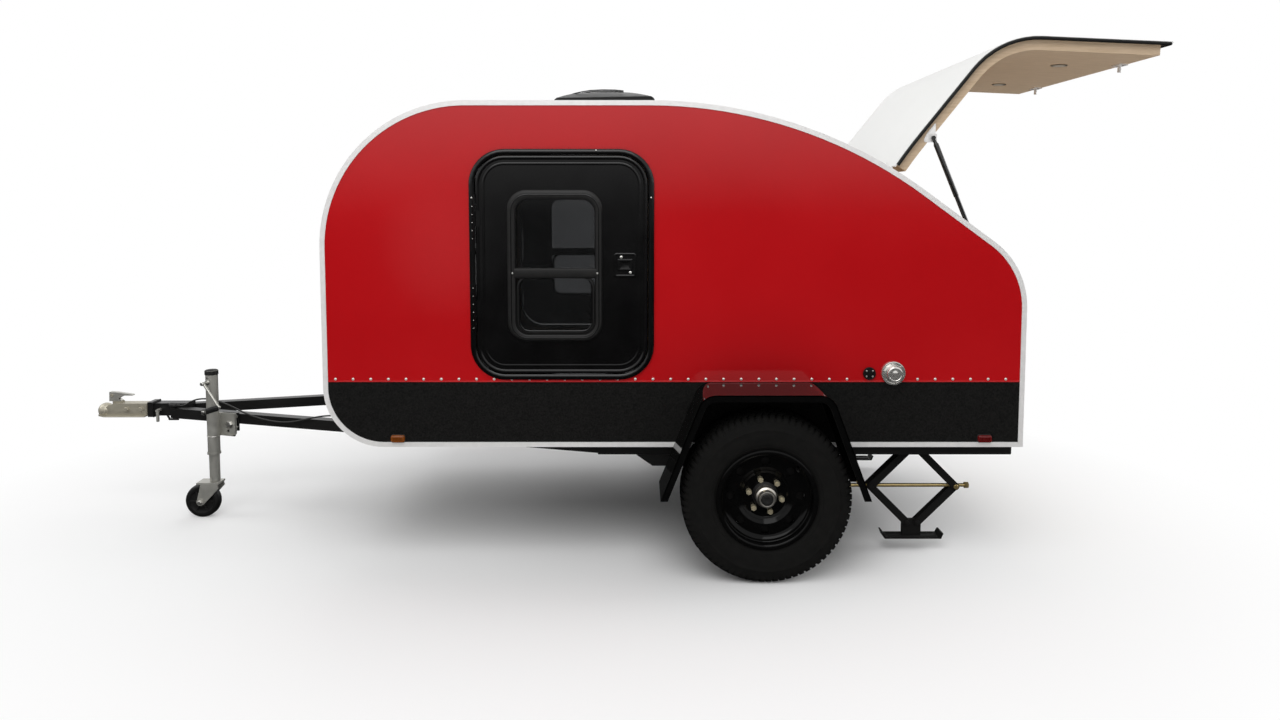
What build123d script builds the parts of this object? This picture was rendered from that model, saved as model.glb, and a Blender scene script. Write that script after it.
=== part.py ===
from build123d import *
from math import atan, cos, hypot, pi, radians, sin, tan
import os

os.makedirs("parts", exist_ok=True)

# Driving sizes in mm. X runs forward from the axle, Y to the left, Z up from the ground.
body_front = 1870
body_rear = -1125
body_bottom = 509
body_top = 1981
body_width = 1524
wall = 30
nose_r = 620
toe_r = 255
roof_end = 480
back_r = 1990
back_slope = 36
tail_r = 353
trim_face = 21
trim_t = 3
band_top = 792

door_x = (486, 1208)
door_sill = 830
door_head = 231
door_r = 120
door_t = 34
door_gap = 5
window_side = (221, 167)
window_low = 167
window_high = 183
window_r = 55
window_ring = 31
bar_w = 36
latch_edge = 48
latch_size = (92, 102)
hinge_len = 204
hinge_share = (0.3024, 0.7147)

hatch_hinge_angle = 31
hatch_angle = 87.5
hatch_bottom = 556
skin_t = 6
rib_depth = 50
rib_w = 40
rib_end = 596
latch_inset = 274
eye_back = 176.4
eye_up = 125.3
strut_len = 520
tube_len = 262
strut_gap = 14

counter_z = 900
galley_back = -1000
bulkhead_x = -480
bay_y = 250
low_shelf_z = 690
shelf_drop = 741
shelf_depth = 260
board = 18

tyre_r = 350
tyre_w = 208
rim_r = 208
bead_r = 195
rim_w = 176
track_out = 132
lug_pcd = 139.7
lugs = 6
spindle_r = 20

fender_top = 790
fender_bottom = 358
fender_out = 262
fender_base = 830
fender_flat = 495
fender_ahead = 20
plate = 4

rail_w = 50
rail_h = 50
rail_t = 4
rail_inset = 72
side_rail_front = 700
cross_x = (-360, 300, 1000, 1560)
drop_x = (533, -320)
drop_run = 70
tongue_x = 2890
tongue_y = 45
receiver = 64
receiver_z = 497
receiver_len = 140
coupler_len = 269
drop_z = 413
axle_x = 130
axle_sq = 76

jack_x = 2533
jack_r = 28.5
leg_r = 24.25
fit = 0.05
caster_r = 82.5
caster_trail = 60

stab_x = -703
stab_inset = 90
stab_z = 455
stab_half = 24
stab_arm = 235
stab_angle = 45
foot_bottom = 55

vent_x = (432, 950)
vent_w = 410
vent_h = 136
vent_hole = 356

marker_size = (57, 29)
marker_up = 23
marker_t = 14
amber_x = 1553.5
red_x = -958.5
tail_lamp = (190, 26)
tail_inset = 112
tail_up = 5
power_at = (-461, 828)
power_r = 26
power_t = 9
water_at = (-562, 830)
water_r = 50
water_t = 12
water_cap = (33, 26)

cable_r = 4
cable_bend = 60

half = body_width / 2
inner = half - wall
axle_z = tyre_r
wheel_y = half + track_out
side_rail_y = half - rail_inset
stab_y = side_rail_y - stab_inset
door_z = (door_sill, body_top - door_head)
door_mid = (door_z[0] + door_z[1]) / 2
window_x = (door_x[0] + window_side[0], door_x[1] - window_side[1])
window_z = (door_z[0] + window_low, door_z[1] - window_high)
bar_mid = (window_z[0] + window_z[1]) / 2 - 24
bar_z = (bar_mid - bar_w / 2, bar_mid + bar_w / 2)
latch_x = (door_x[0] + latch_edge, door_x[0] + latch_edge + latch_size[0])
latch_z = (door_mid + 2 - latch_size[1] / 2, door_mid + 2 + latch_size[1] / 2)
hinge_at = [door_z[0] + share * (door_z[1] - door_z[0]) for share in hinge_share]
hinge_z = [(z - hinge_len / 2, z + hinge_len / 2) for z in hinge_at]
roof_z = body_top - trim_t


# Small helpers for boxes, round bars, mirrored pairs and plates cut from side outlines.
def block(x0, x1, y0, y1, z0, z1):
    at = Pos((x0 + x1) / 2, (y0 + y1) / 2, (z0 + z1) / 2)
    return at * Box(abs(x1 - x0), abs(y1 - y0), abs(z1 - z0))


def bar(p, q, r):
    p, q = Vector(*p), Vector(*q)
    at = Plane(origin=(p + q) * 0.5, z_dir=q - p)
    return at * Cylinder(r, (q - p).length)


def both(solid):
    return [solid, mirror(solid, about=Plane.XZ)]


def plate_xz(points, y0, y1):
    ring = Polyline(*[(x, y0, z) for x, z in points], close=True)
    return extrude(make_face(ring), amount=y1 - y0, dir=(0, 1, 0))


def rounded(x, z, r, grow, y0, y1):
    w, h = x[1] - x[0] + 2 * grow, z[1] - z[0] + 2 * grow
    at = Plane(origin=((x[0] + x[1]) / 2, y0, (z[0] + z[1]) / 2), x_dir=(1, 0, 0), z_dir=(0, 1, 0))
    return extrude(at * RectangleRounded(w, h, r + grow), amount=y1 - y0, dir=(0, 1, 0))


# The side outline of the body, inset by d all round: flat roof, round nose and toe, long sloping back.
slope = radians(back_slope)
normal = Vector(-sin(slope), 0, cos(slope))
back_c = Vector(roof_end, 0, body_top - back_r)
run_c = back_c + normal * (back_r - tail_r)
run = (run_c.X - (body_rear + tail_r)) / cos(slope)
tail_c = run_c + Vector(-cos(slope), 0, -sin(slope)) * run
nose_c = Vector(body_front - nose_r, 0, body_top - nose_r)
toe_c = Vector(body_front - toe_r, 0, body_bottom + toe_r)


def on(c, r, angle, y):
    return (c.X + r * sin(radians(angle)), y, c.Z + r * cos(radians(angle)))


def outline(d, y):
    def arc(c, r, a, b):
        return ThreePointArc(on(c, r - d, a, y), on(c, r - d, (a + b) / 2, y), on(c, r - d, b, y))

    corner = (body_rear + d, y, body_bottom + d)
    edges = [
        Line(on(back_c, back_r - d, 0, y), on(nose_c, nose_r - d, 0, y)),
        arc(nose_c, nose_r, 0, 90),
        Line(on(nose_c, nose_r - d, 90, y), on(toe_c, toe_r - d, 90, y)),
        arc(toe_c, toe_r, 90, 180),
        Line(on(toe_c, toe_r - d, 180, y), corner),
        Line(corner, on(tail_c, tail_r - d, -90, y)),
        arc(tail_c, tail_r, -90, -back_slope),
        Line(on(tail_c, tail_r - d, -back_slope, y), on(back_c, back_r - d, -back_slope, y)),
        arc(back_c, back_r, -back_slope, 0),
    ]
    return make_face(Wire(edges))


def slab(d, y0, y1):
    return extrude(outline(d, y0), amount=y1 - y0, dir=(0, 1, 0))


def shell(d0, d1, y):
    return slab(d0, -y, y) - slab(d1, -y - 1, y + 1)


nodes = {}

# Side walls: a red upper panel and a black lower band, each the whole wall thick, with the doorway cut.
wall_left = slab(trim_t, inner, half)
doorway = rounded(door_x, door_z, door_r, door_gap + 8, inner - 1, half + 1)
upper_zone = block(2 * body_rear, 2 * body_front, 0, body_width, band_top, 2 * body_top)
lower_zone = block(2 * body_rear, 2 * body_front, 0, body_width, 0, band_top)
nodes["side_panels"] = both((wall_left & upper_zone) - doorway)
nodes["side_bands"] = both(wall_left & lower_zone)

# Bright edge trim: an angle whose one leg lies on the wall face and the other over the wall's edge.
trim = slab(0, half, half + trim_t) - slab(trim_face, half - 1, half + trim_t + 1)
trim += slab(0, inner - 2, half) - slab(trim_t, inner - 3, half + 1)
nodes["edge_trims"] = both(trim)

# Roof and front are one wrapped panel between the walls, from the hatch hinge round to the toe.
hinge_a = hatch_hinge_angle
hinge_n = Vector(-sin(radians(hinge_a)), 0, cos(radians(hinge_a)))
hinge_p = Vector(*on(back_c, back_r, -hinge_a, 0))
hinge_axis = hinge_p + hinge_n * 7
cut_plane = Plane(origin=hinge_p, x_dir=(0, 1, 0), z_dir=(cos(radians(hinge_a)), 0, sin(radians(hinge_a))))
far = 2 * body_top
ahead = cut_plane * Pos(0, 0, far / 2) * Box(far, 2 * far, far)
behind = cut_plane * Pos(0, 0, -far / 2) * Box(far, 2 * far, far)
vent_mid = (vent_x[0] + vent_x[1]) / 2
wrap = shell(trim_t, trim_t + wall, inner) & ahead
wrap -= block(-far, toe_c.X, -half, half, 0, body_bottom + toe_r / 2)
hole = vent_hole / 2
wrap -= block(vent_mid - hole, vent_mid + hole, -hole, hole, roof_z - 2 * wall, roof_z + wall)
nodes["roof_shell"] = [wrap]

# Floor with the upright sill that closes the tail under the hatch.
deck_z = body_bottom + trim_t
deck = block(body_rear + trim_t, toe_c.X, -inner, inner, deck_z, deck_z + board)
deck += block(body_rear + trim_t, body_rear + trim_t + 24, -inner, inner, deck_z, hatch_bottom - 8)
nodes["floor_deck"] = [deck]

# Bulkhead between the sleeping cabin and the galley, and the galley's open counter and shelves.
room = slab(trim_t + wall, -inner, inner)
bulkhead = room & block(bulkhead_x, bulkhead_x + board, -half, half, deck_z + board, body_top)
nodes["bulkhead"] = [bulkhead]
room_open = slab(trim_t + wall + 80, -inner, inner)
shelves = block(galley_back, bulkhead_x, -inner, inner, counter_z - 24, counter_z)
edge_y = inner - board / 2
for y in (-edge_y, -bay_y, bay_y, edge_y):
    upright = (y - board / 2, y + board / 2)
    shelves += block(galley_back + 20, bulkhead_x, *upright, deck_z + board, counter_z - 24)
shelves += block(galley_back + 40, bulkhead_x, -inner, inner, low_shelf_z, low_shelf_z + board)
shelf_z = body_top - shelf_drop
shelf_x, shelf_y = bulkhead_x - shelf_depth, inner - 40
upper_shelf = block(shelf_x, bulkhead_x, -shelf_y, shelf_y, shelf_z, shelf_z + board)
for y in (-shelf_y + board / 2, 0, shelf_y - board / 2):
    upright = (y - board / 2, y + board / 2)
    upper_shelf += block(shelf_x + 20, bulkhead_x, *upright, shelf_z + board, shelf_z + 180)
upper_shelf += block(shelf_x, shelf_x + board, -shelf_y, shelf_y, shelf_z + board, shelf_z + 70)
nodes["galley_shelves"] = [shelves, upper_shelf & room_open]

# Door frames: a flange on the wall face and a sleeve through the wall, with hinge knuckles and pins.
hinge_x = door_x[1] + 5
hinge_y = half + 14
frame = rounded(door_x, door_z, door_r, 28, half, half + 8)
frame += rounded(door_x, door_z, door_r, door_gap + 8, inner, half)
frame -= rounded(door_x, door_z, door_r, door_gap, inner - 1, half + 9)
leaf = rounded(door_x, door_z, door_r, 0, half - 26, half - 26 + door_t)
leaf += rounded(window_x, window_z, window_r, window_ring, half + 8, half + 14)
leaf -= rounded(window_x, window_z, window_r, 0, half - 30, half + 20)
leaf -= rounded(window_x, window_z, window_r, 8, half - 30, half - 4)
leaf += block(window_x[0] - 4, window_x[1] + 4, half - 4, half + 10, *bar_z)
for z0, z1 in hinge_z:
    third = (z1 - z0) / 3
    frame += block(hinge_x, hinge_x + 20, half + 8, half + 11, z0, z1)
    leaf += block(hinge_x - 24, hinge_x - 5, half + 8, half + 11, z0 + third + 1, z1 - third - 1)
    for a, b in ((z0, z0 + third), (z1 - third, z1)):
        frame += bar((hinge_x, hinge_y, a), (hinge_x, hinge_y, b), 5)
        frame += block(hinge_x, hinge_x + 5, half + 8, hinge_y, a, b)
    frame -= bar((hinge_x, hinge_y, z0 + third + 0.5), (hinge_x, hinge_y, z1 - third - 0.5), 6)
    frame += bar((hinge_x, hinge_y, z0 + third), (hinge_x, hinge_y, z1 - third), 2)
    knuckle = bar((hinge_x, hinge_y, z0 + third + 1), (hinge_x, hinge_y, z1 - third - 1), 5)
    leaf += knuckle + block(hinge_x - 6, hinge_x, half + 8, half + 11, z0 + third + 1, z1 - third - 1)
    leaf -= bar((hinge_x, hinge_y, z0), (hinge_x, hinge_y, z1), 2 + fit)
nodes["door_frames"] = both(frame)
glass = rounded(window_x, window_z, window_r, 8, half - 9, half - 4)
latch = rounded(latch_x, latch_z, 10, 0, half + 8, half + 13)
pull_x, pull_z = (latch_x[0] + 12, latch_x[1] - 12), (latch_z[0] + 26, latch_z[1] - 26)
latch -= rounded(pull_x, pull_z, 6, 0, half + 10, half + 14)
for k, side in enumerate(("left", "right")):
    nodes[f"door_leaf_{side}"] = [both(leaf)[k]]
    nodes[f"door_glass_{side}"] = [both(glass)[k]]
    nodes[f"door_latch_{side}"] = [both(latch)[k]]

# Rear hatch, modelled shut and then swung open about its hinge: skin, wooden frame, latches, studs.
skin_y = inner - 8
rib_y = skin_y - 20
skin = shell(0, skin_t, skin_y) & behind
skin &= block(-far, far, -half, half, hatch_bottom, far)
back_gap = cut_plane * Pos(0, 0, -6) * Box(far, body_width / 4, 12)
skin -= back_gap
frame_zone = block(-far, far, -half, half, rib_end, far) & behind
ribs = shell(skin_t, skin_t + rib_depth, rib_y) & frame_zone
ribs -= cut_plane * Pos(0, 0, -12) * Box(far, body_width / 4, 24)
hollow = slab(skin_t, -rib_y + rib_w, -20) + slab(skin_t, 20, rib_y - rib_w)
hollow -= slab(skin_t + rib_depth - 6, -half, half)
hollow &= block(-far, hinge_p.X - 60, -half, half, rib_end + rib_w, far)
ribs -= hollow
swing = Pos(*hinge_axis) * Rot(0, hatch_angle, 0) * Pos(*(-hinge_axis))
latch_in = body_rear + skin_t + rib_depth
latch_pair = []
for y in (latch_inset - rib_y, rib_y - latch_inset):
    base = block(latch_in, latch_in + 6, y - 36, y + 36, rib_end + 4, rib_end + 42)
    base += bar((latch_in + 6, y, rib_end + 23), (latch_in + 34, y, rib_end + 23), 8)
    latch_pair.append(base)
strut_y = inner - strut_gap
eye = hinge_axis + Vector(-eye_back, 0, eye_up)
strut_dir = Vector(-0.388, 0, -0.9217)
strut_foot = eye + strut_dir * strut_len
stud_shut = swing.inverse() * Pos(*eye)
stud_at = stud_shut.position
stud = bar((stud_at.X, rib_y, stud_at.Z), (stud_at.X, strut_y - 6.5, stud_at.Z), 6)
stud += block(stud_at.X - 18, stud_at.X + 18, rib_y, rib_y + 3, stud_at.Z - 18, stud_at.Z + 18)
hinge_line = ((hinge_axis.X, -skin_y, hinge_axis.Z), (hinge_axis.X, skin_y, hinge_axis.Z))
fixed_leaf = cut_plane * Pos(0, -1.5, 21) * Box(2 * skin_y, 3, 38)
fixed_leaf += cut_plane * Pos(0, 1.5, 3.6) * Box(2 * skin_y, 9, 2.8)
step = 2 * skin_y / 9
for k in range(9):
    y0, y1 = -skin_y + k * step, -skin_y + (k + 1) * step
    knuckle = bar((hinge_axis.X, y0 + 0.5, hinge_axis.Z), (hinge_axis.X, y1 - 0.5, hinge_axis.Z), 5)
    gap = bar((hinge_axis.X, y0, hinge_axis.Z), (hinge_axis.X, y1, hinge_axis.Z), 6)
    y_mid, length = (y0 + y1) / 2, step - 1
    if k % 2:
        skin += cut_plane * Pos(y_mid, -0.5, -20) * Box(length, 5, 36)
        skin += cut_plane * Pos(y_mid, 3.5, -3.5) * Box(length, 7, 3)
        skin += knuckle
        fixed_leaf -= gap
    else:
        fixed_leaf += knuckle
skin -= bar(*hinge_line, 2 + fit)
fixed_leaf += bar(*hinge_line, 2)
nodes["hatch_hinge"] = [fixed_leaf]
for name, solids in (
    ("hatch_skin", [skin]),
    ("hatch_frame", [ribs]),
    ("hatch_latches", latch_pair),
    ("hatch_studs", both(stud)),
):
    nodes[name] = [swing * s for s in solids]

# Gas struts: a tube pivoting on a stud at each wall and a rod whose eye sits beside the hatch's stud.
tube_end = strut_foot - strut_dir * tube_len
tube = bar((strut_foot.X, strut_y, strut_foot.Z), (tube_end.X, strut_y, tube_end.Z), 9)
bore_end = strut_foot - strut_dir * 24
tube += bar((strut_foot.X, strut_y - 7, strut_foot.Z), (strut_foot.X, inner - 0.3, strut_foot.Z), 9)
tube -= bar((bore_end.X, strut_y, bore_end.Z), (tube_end.X, strut_y, tube_end.Z), 4 + fit)
rod_start = strut_foot - strut_dir * (tube_len - 20)
rod = bar((rod_start.X, strut_y, rod_start.Z), (eye.X, strut_y, eye.Z), 4)
rod += bar((eye.X, strut_y - 5.5, eye.Z), (eye.X, strut_y + 5.5, eye.Z), 9)
nodes["strut_tubes"] = both(tube)
nodes["strut_rods"] = both(rod)

# Wheels: tyre, dished steel rim with round vent holes, and hub with cap, studs and nuts.
axis_y = Axis((0, 0, axle_z), (0, 1, 0))


def turned(points, y_mid):
    ring = Polyline(*[(r, y_mid + y, axle_z) for r, y in points], close=True)
    return revolve(make_face(ring), axis_y, 360)


bead = rim_w / 2 - 7
side = tyre_w / 2
bulge_r = tyre_r - 78
tyre = turned(
    [(bead_r, -bead), (rim_r + 6, -bead), (rim_r + 36, -side + 4), (bulge_r, -side), (tyre_r - 34, -side + 6),
     (tyre_r - 10, -side + 18), (tyre_r, -side + 38), (tyre_r, side - 38), (tyre_r - 10, side - 18),
     (tyre_r - 34, side - 6), (bulge_r, side), (rim_r + 36, side - 4),
     (rim_r + 6, bead), (bead_r, bead), (bead_r, bead - 14), (rim_r + 4, bead - 14), (rim_r + 36, side - 15),
     (bulge_r, side - 11), (tyre_r - 36, side - 17), (tyre_r - 17, side - 34), (tyre_r - 14, side - 64),
     (tyre_r - 14, -side + 64), (tyre_r - 17, -side + 34), (tyre_r - 36, -side + 17), (bulge_r, -side + 11),
     (rim_r + 36, -side + 15), (rim_r + 4, -bead + 14), (bead_r, -bead + 14)],
    wheel_y,
)
edge = rim_w / 2
rim = turned(
    [(rim_r, -edge), (rim_r, -bead), (bead_r, -bead), (bead_r, bead), (rim_r, bead), (rim_r, edge),
     (bead_r - 5, edge), (bead_r - 9, 40), (168, 32), (120, 30), (92, 14), (54, 14), (54, 6), (96, 6),
     (122, 22), (164, 24), (bead_r - 8, 12), (bead_r - 8, -edge + 4), (bead_r - 5, -edge)],
    wheel_y,
)
hub = turned(
    [(0, 20), (0, 88), (24, 88), (30, 82), (30, 62), (42, 58), (42, 20), (53.5, 18), (53.5, 6), (86, 6),
     (86, -6), (48, -8), (44, -70), (0, -70)],
    wheel_y,
)
hub -= bar((0, wheel_y - 71, axle_z), (0, wheel_y - 4, axle_z), spindle_r + fit)
for k in range(8):
    a = 2 * pi * k / 8
    x, z = 144 * cos(a), axle_z + 144 * sin(a)
    rim -= bar((x, wheel_y, z), (x, wheel_y + 60, z), 18)
for k in range(lugs):
    a = 2 * pi * k / lugs + radians(13)
    x, z = lug_pcd / 2 * cos(a), axle_z + lug_pcd / 2 * sin(a)
    rim -= bar((x, wheel_y, z), (x, wheel_y + 30, z), 7.5)
    hub += bar((x, wheel_y, z), (x, wheel_y + 40, z), 6.5)
    nut = extrude(RegularPolygon(12, 6), 12, both=True)
    hub += Plane(origin=(x, wheel_y + 26, z), z_dir=(0, 1, 0)) * nut
for k, side in enumerate(("left", "right")):
    nodes[f"tyre_{side}"] = [both(tyre)[k]]
    nodes[f"rim_{side}"] = [both(rim)[k]]
    nodes[f"hub_{side}"] = [both(hub)[k]]

# Fenders: a flat top with two sloping legs, a lip along each long edge, standing on the wall.
low, flat = fender_base / 2, fender_flat / 2
fore, fore_flat = low + fender_ahead, flat + fender_ahead * 0.6
over = [(-low, fender_bottom), (-flat - 14, fender_top - 26), (-flat + 14, fender_top),
        (fore_flat - 14, fender_top), (fore_flat + 14, fender_top - 26), (fore, fender_bottom)]
under = [(-low + plate + 1, fender_bottom), (-flat - 9, fender_top - 28), (-flat + 16, fender_top - plate),
         (fore_flat - 16, fender_top - plate), (fore_flat + 9, fender_top - 28),
         (fore - plate - 1, fender_bottom)]
lip = [(-low + 26, fender_bottom), (-flat + 13, fender_top - 38), (-flat + 26, fender_top - 26),
       (fore_flat - 26, fender_top - 26), (fore_flat - 13, fender_top - 38), (fore - 26, fender_bottom)]
fender = plate_xz(over + under[::-1], half + trim_t, half + fender_out)
rim_edge = over + lip[::-1]
fender += plate_xz(rim_edge, half + fender_out - plate, half + fender_out)
fender += plate_xz(rim_edge, half + trim_t, half + trim_t + plate)
nodes["fenders"] = both(fender)

# Chassis: one weldment of box tubes, with the A-frame, receiver, axle drops and stabiliser heads.
rail_top = deck_z
rail_low = rail_top - rail_h
rail_back = (side_rail_front - 60, side_rail_y - 6)
lean = atan((rail_back[1] - tongue_y) / (tongue_x - rail_back[0]))


def tube_between(p, q, w, h, z_mid, t):
    length = hypot(q[0] - p[0], q[1] - p[1])
    at = Plane(
        origin=((p[0] + q[0]) / 2, (p[1] + q[1]) / 2, z_mid),
        x_dir=(q[0] - p[0], q[1] - p[1], 0),
        z_dir=(0, 0, 1),
    )
    return at * Box(length, w, h), at * Box(length - 2 * t, w - 2 * t, h - 2 * t)


runs = []
for s in (1, -1):
    runs.append(((body_rear + 30, s * side_rail_y), (side_rail_front, s * side_rail_y)))
    runs.append(((rail_back[0], s * rail_back[1]), (tongue_x, s * tongue_y)))
for x in (body_rear + 60, *cross_x):
    y = side_rail_y - 5 if x < side_rail_front else tongue_y + (tongue_x - x) * tan(lean) + 20
    runs.append(((x, -y), (x, y)))
steel = [tube_between(p, q, rail_w, rail_h, (rail_top + rail_low) / 2, rail_t) for p, q in runs]
chassis = steel[0][0].fuse(*[s[0] for s in steel[1:]])
chassis = chassis.cut(*[s[1] for s in steel])
rec = receiver / 2
rec_x0, rec_x1 = tongue_x - 70, tongue_x + receiver_len
chassis += block(rec_x0, rec_x1, -rec, rec, receiver_z - rec, receiver_z + rec)
chassis += block(rec_x1 - 28, rec_x1, -rec - 6, rec + 6, receiver_z - rec - 6, receiver_z + rec + 6)
chassis -= block(rec_x0 + 20, rec_x1 + 1, -rec + 6, rec - 6, receiver_z - rec + 6, receiver_z + rec - 6)
pin_x = rec_x1 - 62
chassis -= bar((pin_x, -60, receiver_z), (pin_x, 60, receiver_z), 8.2)
loop_low = receiver_z - rec - 20
for s in (1, -1):
    y = s * (rec - 6)
    chassis += bar((tongue_x - 18, y, receiver_z - rec + 2), (tongue_x - 6, y, loop_low), 5)
    chassis += bar((tongue_x + 46, y, receiver_z - rec + 2), (tongue_x + 34, y, loop_low), 5)
    chassis += bar((tongue_x - 11, y, loop_low), (tongue_x + 39, y, loop_low), 5)
drop = [(drop_x[0], rail_low), (drop_x[0] - drop_run, drop_z), (drop_x[1] + drop_run, drop_z),
        (drop_x[1], rail_low)]
for s in (1, -1):
    chassis += plate_xz(drop, s * side_rail_y - 30, s * side_rail_y + 30)
pin_r = 8
head = stab_half + 34
head_z = stab_z + 23
for s in (1, -1):
    y = s * stab_y
    chassis += block(stab_x - head, stab_x + head, s * (stab_y - 36), s * side_rail_y, head_z, head_z + 5)
    for t in (1, -1):
        chassis += block(stab_x - head, stab_x + head, y + t * 27, y + t * 32, stab_z - 18, head_z + 2)
    for x in (stab_x - stab_half, stab_x + stab_half):
        chassis += bar((x, y - 28, stab_z), (x, y + 28, stab_z), pin_r)
nodes["chassis_frame"] = [chassis]

# Torsion axle: square beam under the drops, trailing arms and the spindles the hubs turn on.
beam_z = drop_z - axle_sq / 2
axle_end = side_rail_y + 20
axle = block(axle_x - axle_sq / 2, axle_x + axle_sq / 2, -axle_end, axle_end, drop_z - axle_sq, drop_z)
for s in (1, -1):
    y = s * axle_end
    arm = [(axle_x + 30, beam_z - 30), (axle_x + 30, beam_z + 30), (10, axle_z + 34), (-34, axle_z + 10),
           (-34, axle_z - 26), (0, axle_z - 36)]
    axle += plate_xz(arm, min(y, y + s * 34), max(y, y + s * 34))
    axle += bar((0, y, axle_z), (0, s * (wheel_y - 74), axle_z), 34)
    axle += bar((0, y, axle_z), (0, s * (wheel_y - 6), axle_z), spindle_r)
nodes["torsion_axle"] = [axle]

# Coupler: stamped ball socket on a stinger that slides into the receiver, its latch and the hitch pin.
nose = rec_x1 + coupler_len
ball_x = nose - 38
sting = rec - 7
coupler = block(rec_x0 + 40, rec_x1 + 90, -sting, sting, receiver_z - sting, receiver_z + sting)
coupler -= bar((pin_x, -60, receiver_z), (pin_x, 60, receiver_z), 8.2)
channel_z = (receiver_z - sting - 5, receiver_z + sting + 5)
channel = [(rec_x1 + 8, channel_z[0]), (rec_x1 + 8, channel_z[1]), (ball_x - 64, channel_z[1]),
           (ball_x - 30, channel_z[1] - 9), (ball_x - 4, channel_z[1] - 26), (ball_x + 14, channel_z[0])]
coupler += plate_xz(channel, -sting - 5, sting + 5)
coupler += Pos(ball_x, 0, receiver_z - 10) * Sphere(38)
flange_z = channel_z[0] - 6
coupler += block(rec_x1 + 10, ball_x, -46, 46, flange_z, channel_z[0])
coupler += bar((ball_x, 0, flange_z), (ball_x, 0, channel_z[0]), nose - ball_x)
coupler -= bar((ball_x, 0, flange_z - 40), (ball_x, 0, flange_z), 60)
coupler -= bar((ball_x, 0, receiver_z - 60), (ball_x, 0, receiver_z + 8), 26)
coupler += block(ball_x - 88, ball_x - 40, -14, 14, channel_z[1] - 16, channel_z[1] + 8)
nodes["coupler"] = [coupler]
lever_z = channel_z[1] + 8
catch = [(-46, 0), (-22, 0), (-24, 48), (-58, 46), (-98, 40), (-140, 34), (-142, 29), (-96, 29), (-68, 14),
         (-84, 4), (-82, 0)]
lever = plate_xz([(ball_x + x, lever_z + z) for x, z in catch], -12, 12)
hitch_pin = bar((pin_x, -rec - 34, receiver_z), (pin_x, rec + 34, receiver_z), 8)
hitch_pin += bar((pin_x, rec + 26, receiver_z), (pin_x, rec + 26, receiver_z - 52), 7.5)
nodes["coupler_fittings"] = [lever, hitch_pin]

# Tongue jack on the left rail: fixed bracket, swinging tube with crank, sliding leg, caster fork, wheel.
along = Vector(cos(lean), -sin(lean), 0)
out = Vector(sin(lean), cos(lean), 0)
rail_y = tongue_y + (tongue_x - jack_x) * tan(lean)
jack_o = Vector(jack_x, rail_y, 0) + out * (rail_w / 2)
jack_plane = Plane(origin=jack_o, x_dir=along, z_dir=(0, 0, 1))
pivot_z = rail_low - 2
bracket_h = 62


def local(u0, u1, v0, v1, z0, z1):
    return jack_plane * block(u0, u1, v0, v1, z0, z1)


def at_jack(u, v, z):
    p = jack_o + along * u + out * v
    return (p.X, p.Y, z)


bracket = local(-45, 45, 0, 9, pivot_z - bracket_h + 30, pivot_z + bracket_h - 4)
bracket += local(-20, 45, 0, 9, pivot_z - bracket_h, pivot_z)
bracket += bar(at_jack(0, 9, pivot_z), at_jack(0, 23, pivot_z), 14)
nodes["jack_bracket"] = [bracket]
tube_u, tube_v = 70, 47
jack_low, jack_top = 316, 732
cup_z = (pivot_z - 55, pivot_z + 56)
jack = local(-38, 74, 12, 18, cup_z[0] + 16, cup_z[1]) + local(-22, 74, 12, 18, *cup_z)
jack += bar(at_jack(-22, 12, cup_z[0] + 16), at_jack(-22, 18, cup_z[0] + 16), 16)
jack += local(-22, 50, 12, 30, cup_z[0], cup_z[0] + 5) + local(-38, -33, 12, 26, cup_z[0] + 16, cup_z[1])
jack -= bar(at_jack(0, 0, pivot_z), at_jack(0, 40, pivot_z), 14 + fit)
jack -= bar(at_jack(8, 0, pivot_z - 34), at_jack(8, 40, pivot_z - 34), 7)
jack += local(tube_u - 20, tube_u + 20, 16, tube_v - 10, *cup_z)
jack += bar(at_jack(tube_u, tube_v, jack_low), at_jack(tube_u, tube_v, jack_top - 18), jack_r)
jack += bar(at_jack(tube_u, tube_v, jack_top - 18), at_jack(tube_u, tube_v, jack_top), jack_r + 2)
jack += bar(at_jack(tube_u, tube_v, jack_low), at_jack(tube_u, tube_v, jack_low + 10), jack_r + 3)
jack -= bar(at_jack(tube_u, tube_v, jack_low - 1), at_jack(tube_u, tube_v, jack_top - 82), leg_r + fit)
nodes["jack_tube"] = [jack]
crank_z, throw_u, throw_z = 676, -86, -112
shaft_v = tube_v + 62
crank = bar(at_jack(tube_u, tube_v + jack_r, crank_z), at_jack(tube_u, shaft_v, crank_z), 7)
grip_u, grip_z = tube_u + throw_u, crank_z + throw_z
crank += bar(at_jack(tube_u, shaft_v - 6, crank_z), at_jack(grip_u, shaft_v - 6, grip_z), 6)
crank += bar(at_jack(grip_u, shaft_v - 12, grip_z), at_jack(grip_u, shaft_v + 16, grip_z), 6)
crank += bar(at_jack(grip_u, shaft_v + 8, grip_z), at_jack(grip_u, shaft_v + 96, grip_z), 13)
nodes["jack_crank"] = [crank]
leg_low, leg_len = 181, 319
leg = bar(at_jack(tube_u, tube_v, leg_low), at_jack(tube_u, tube_v, leg_low + leg_len), leg_r)
leg -= bar(at_jack(tube_u, tube_v, leg_low - 1), at_jack(tube_u, tube_v, leg_low + 44), 10 + fit)
nodes["jack_leg"] = [leg]
foot_p = at_jack(tube_u, tube_v, 0)
fx, fy = foot_p[0], foot_p[1]
cx = fx + caster_trail
fork = block(fx - 32, cx + 17, fy - 37, fy + 37, 2 * caster_r + 5, 2 * caster_r + 13)
fork += bar((fx, fy, 2 * caster_r + 5), (fx, fy, leg_low + 36), 10)
fork_z = 2 * caster_r + 8
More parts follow.
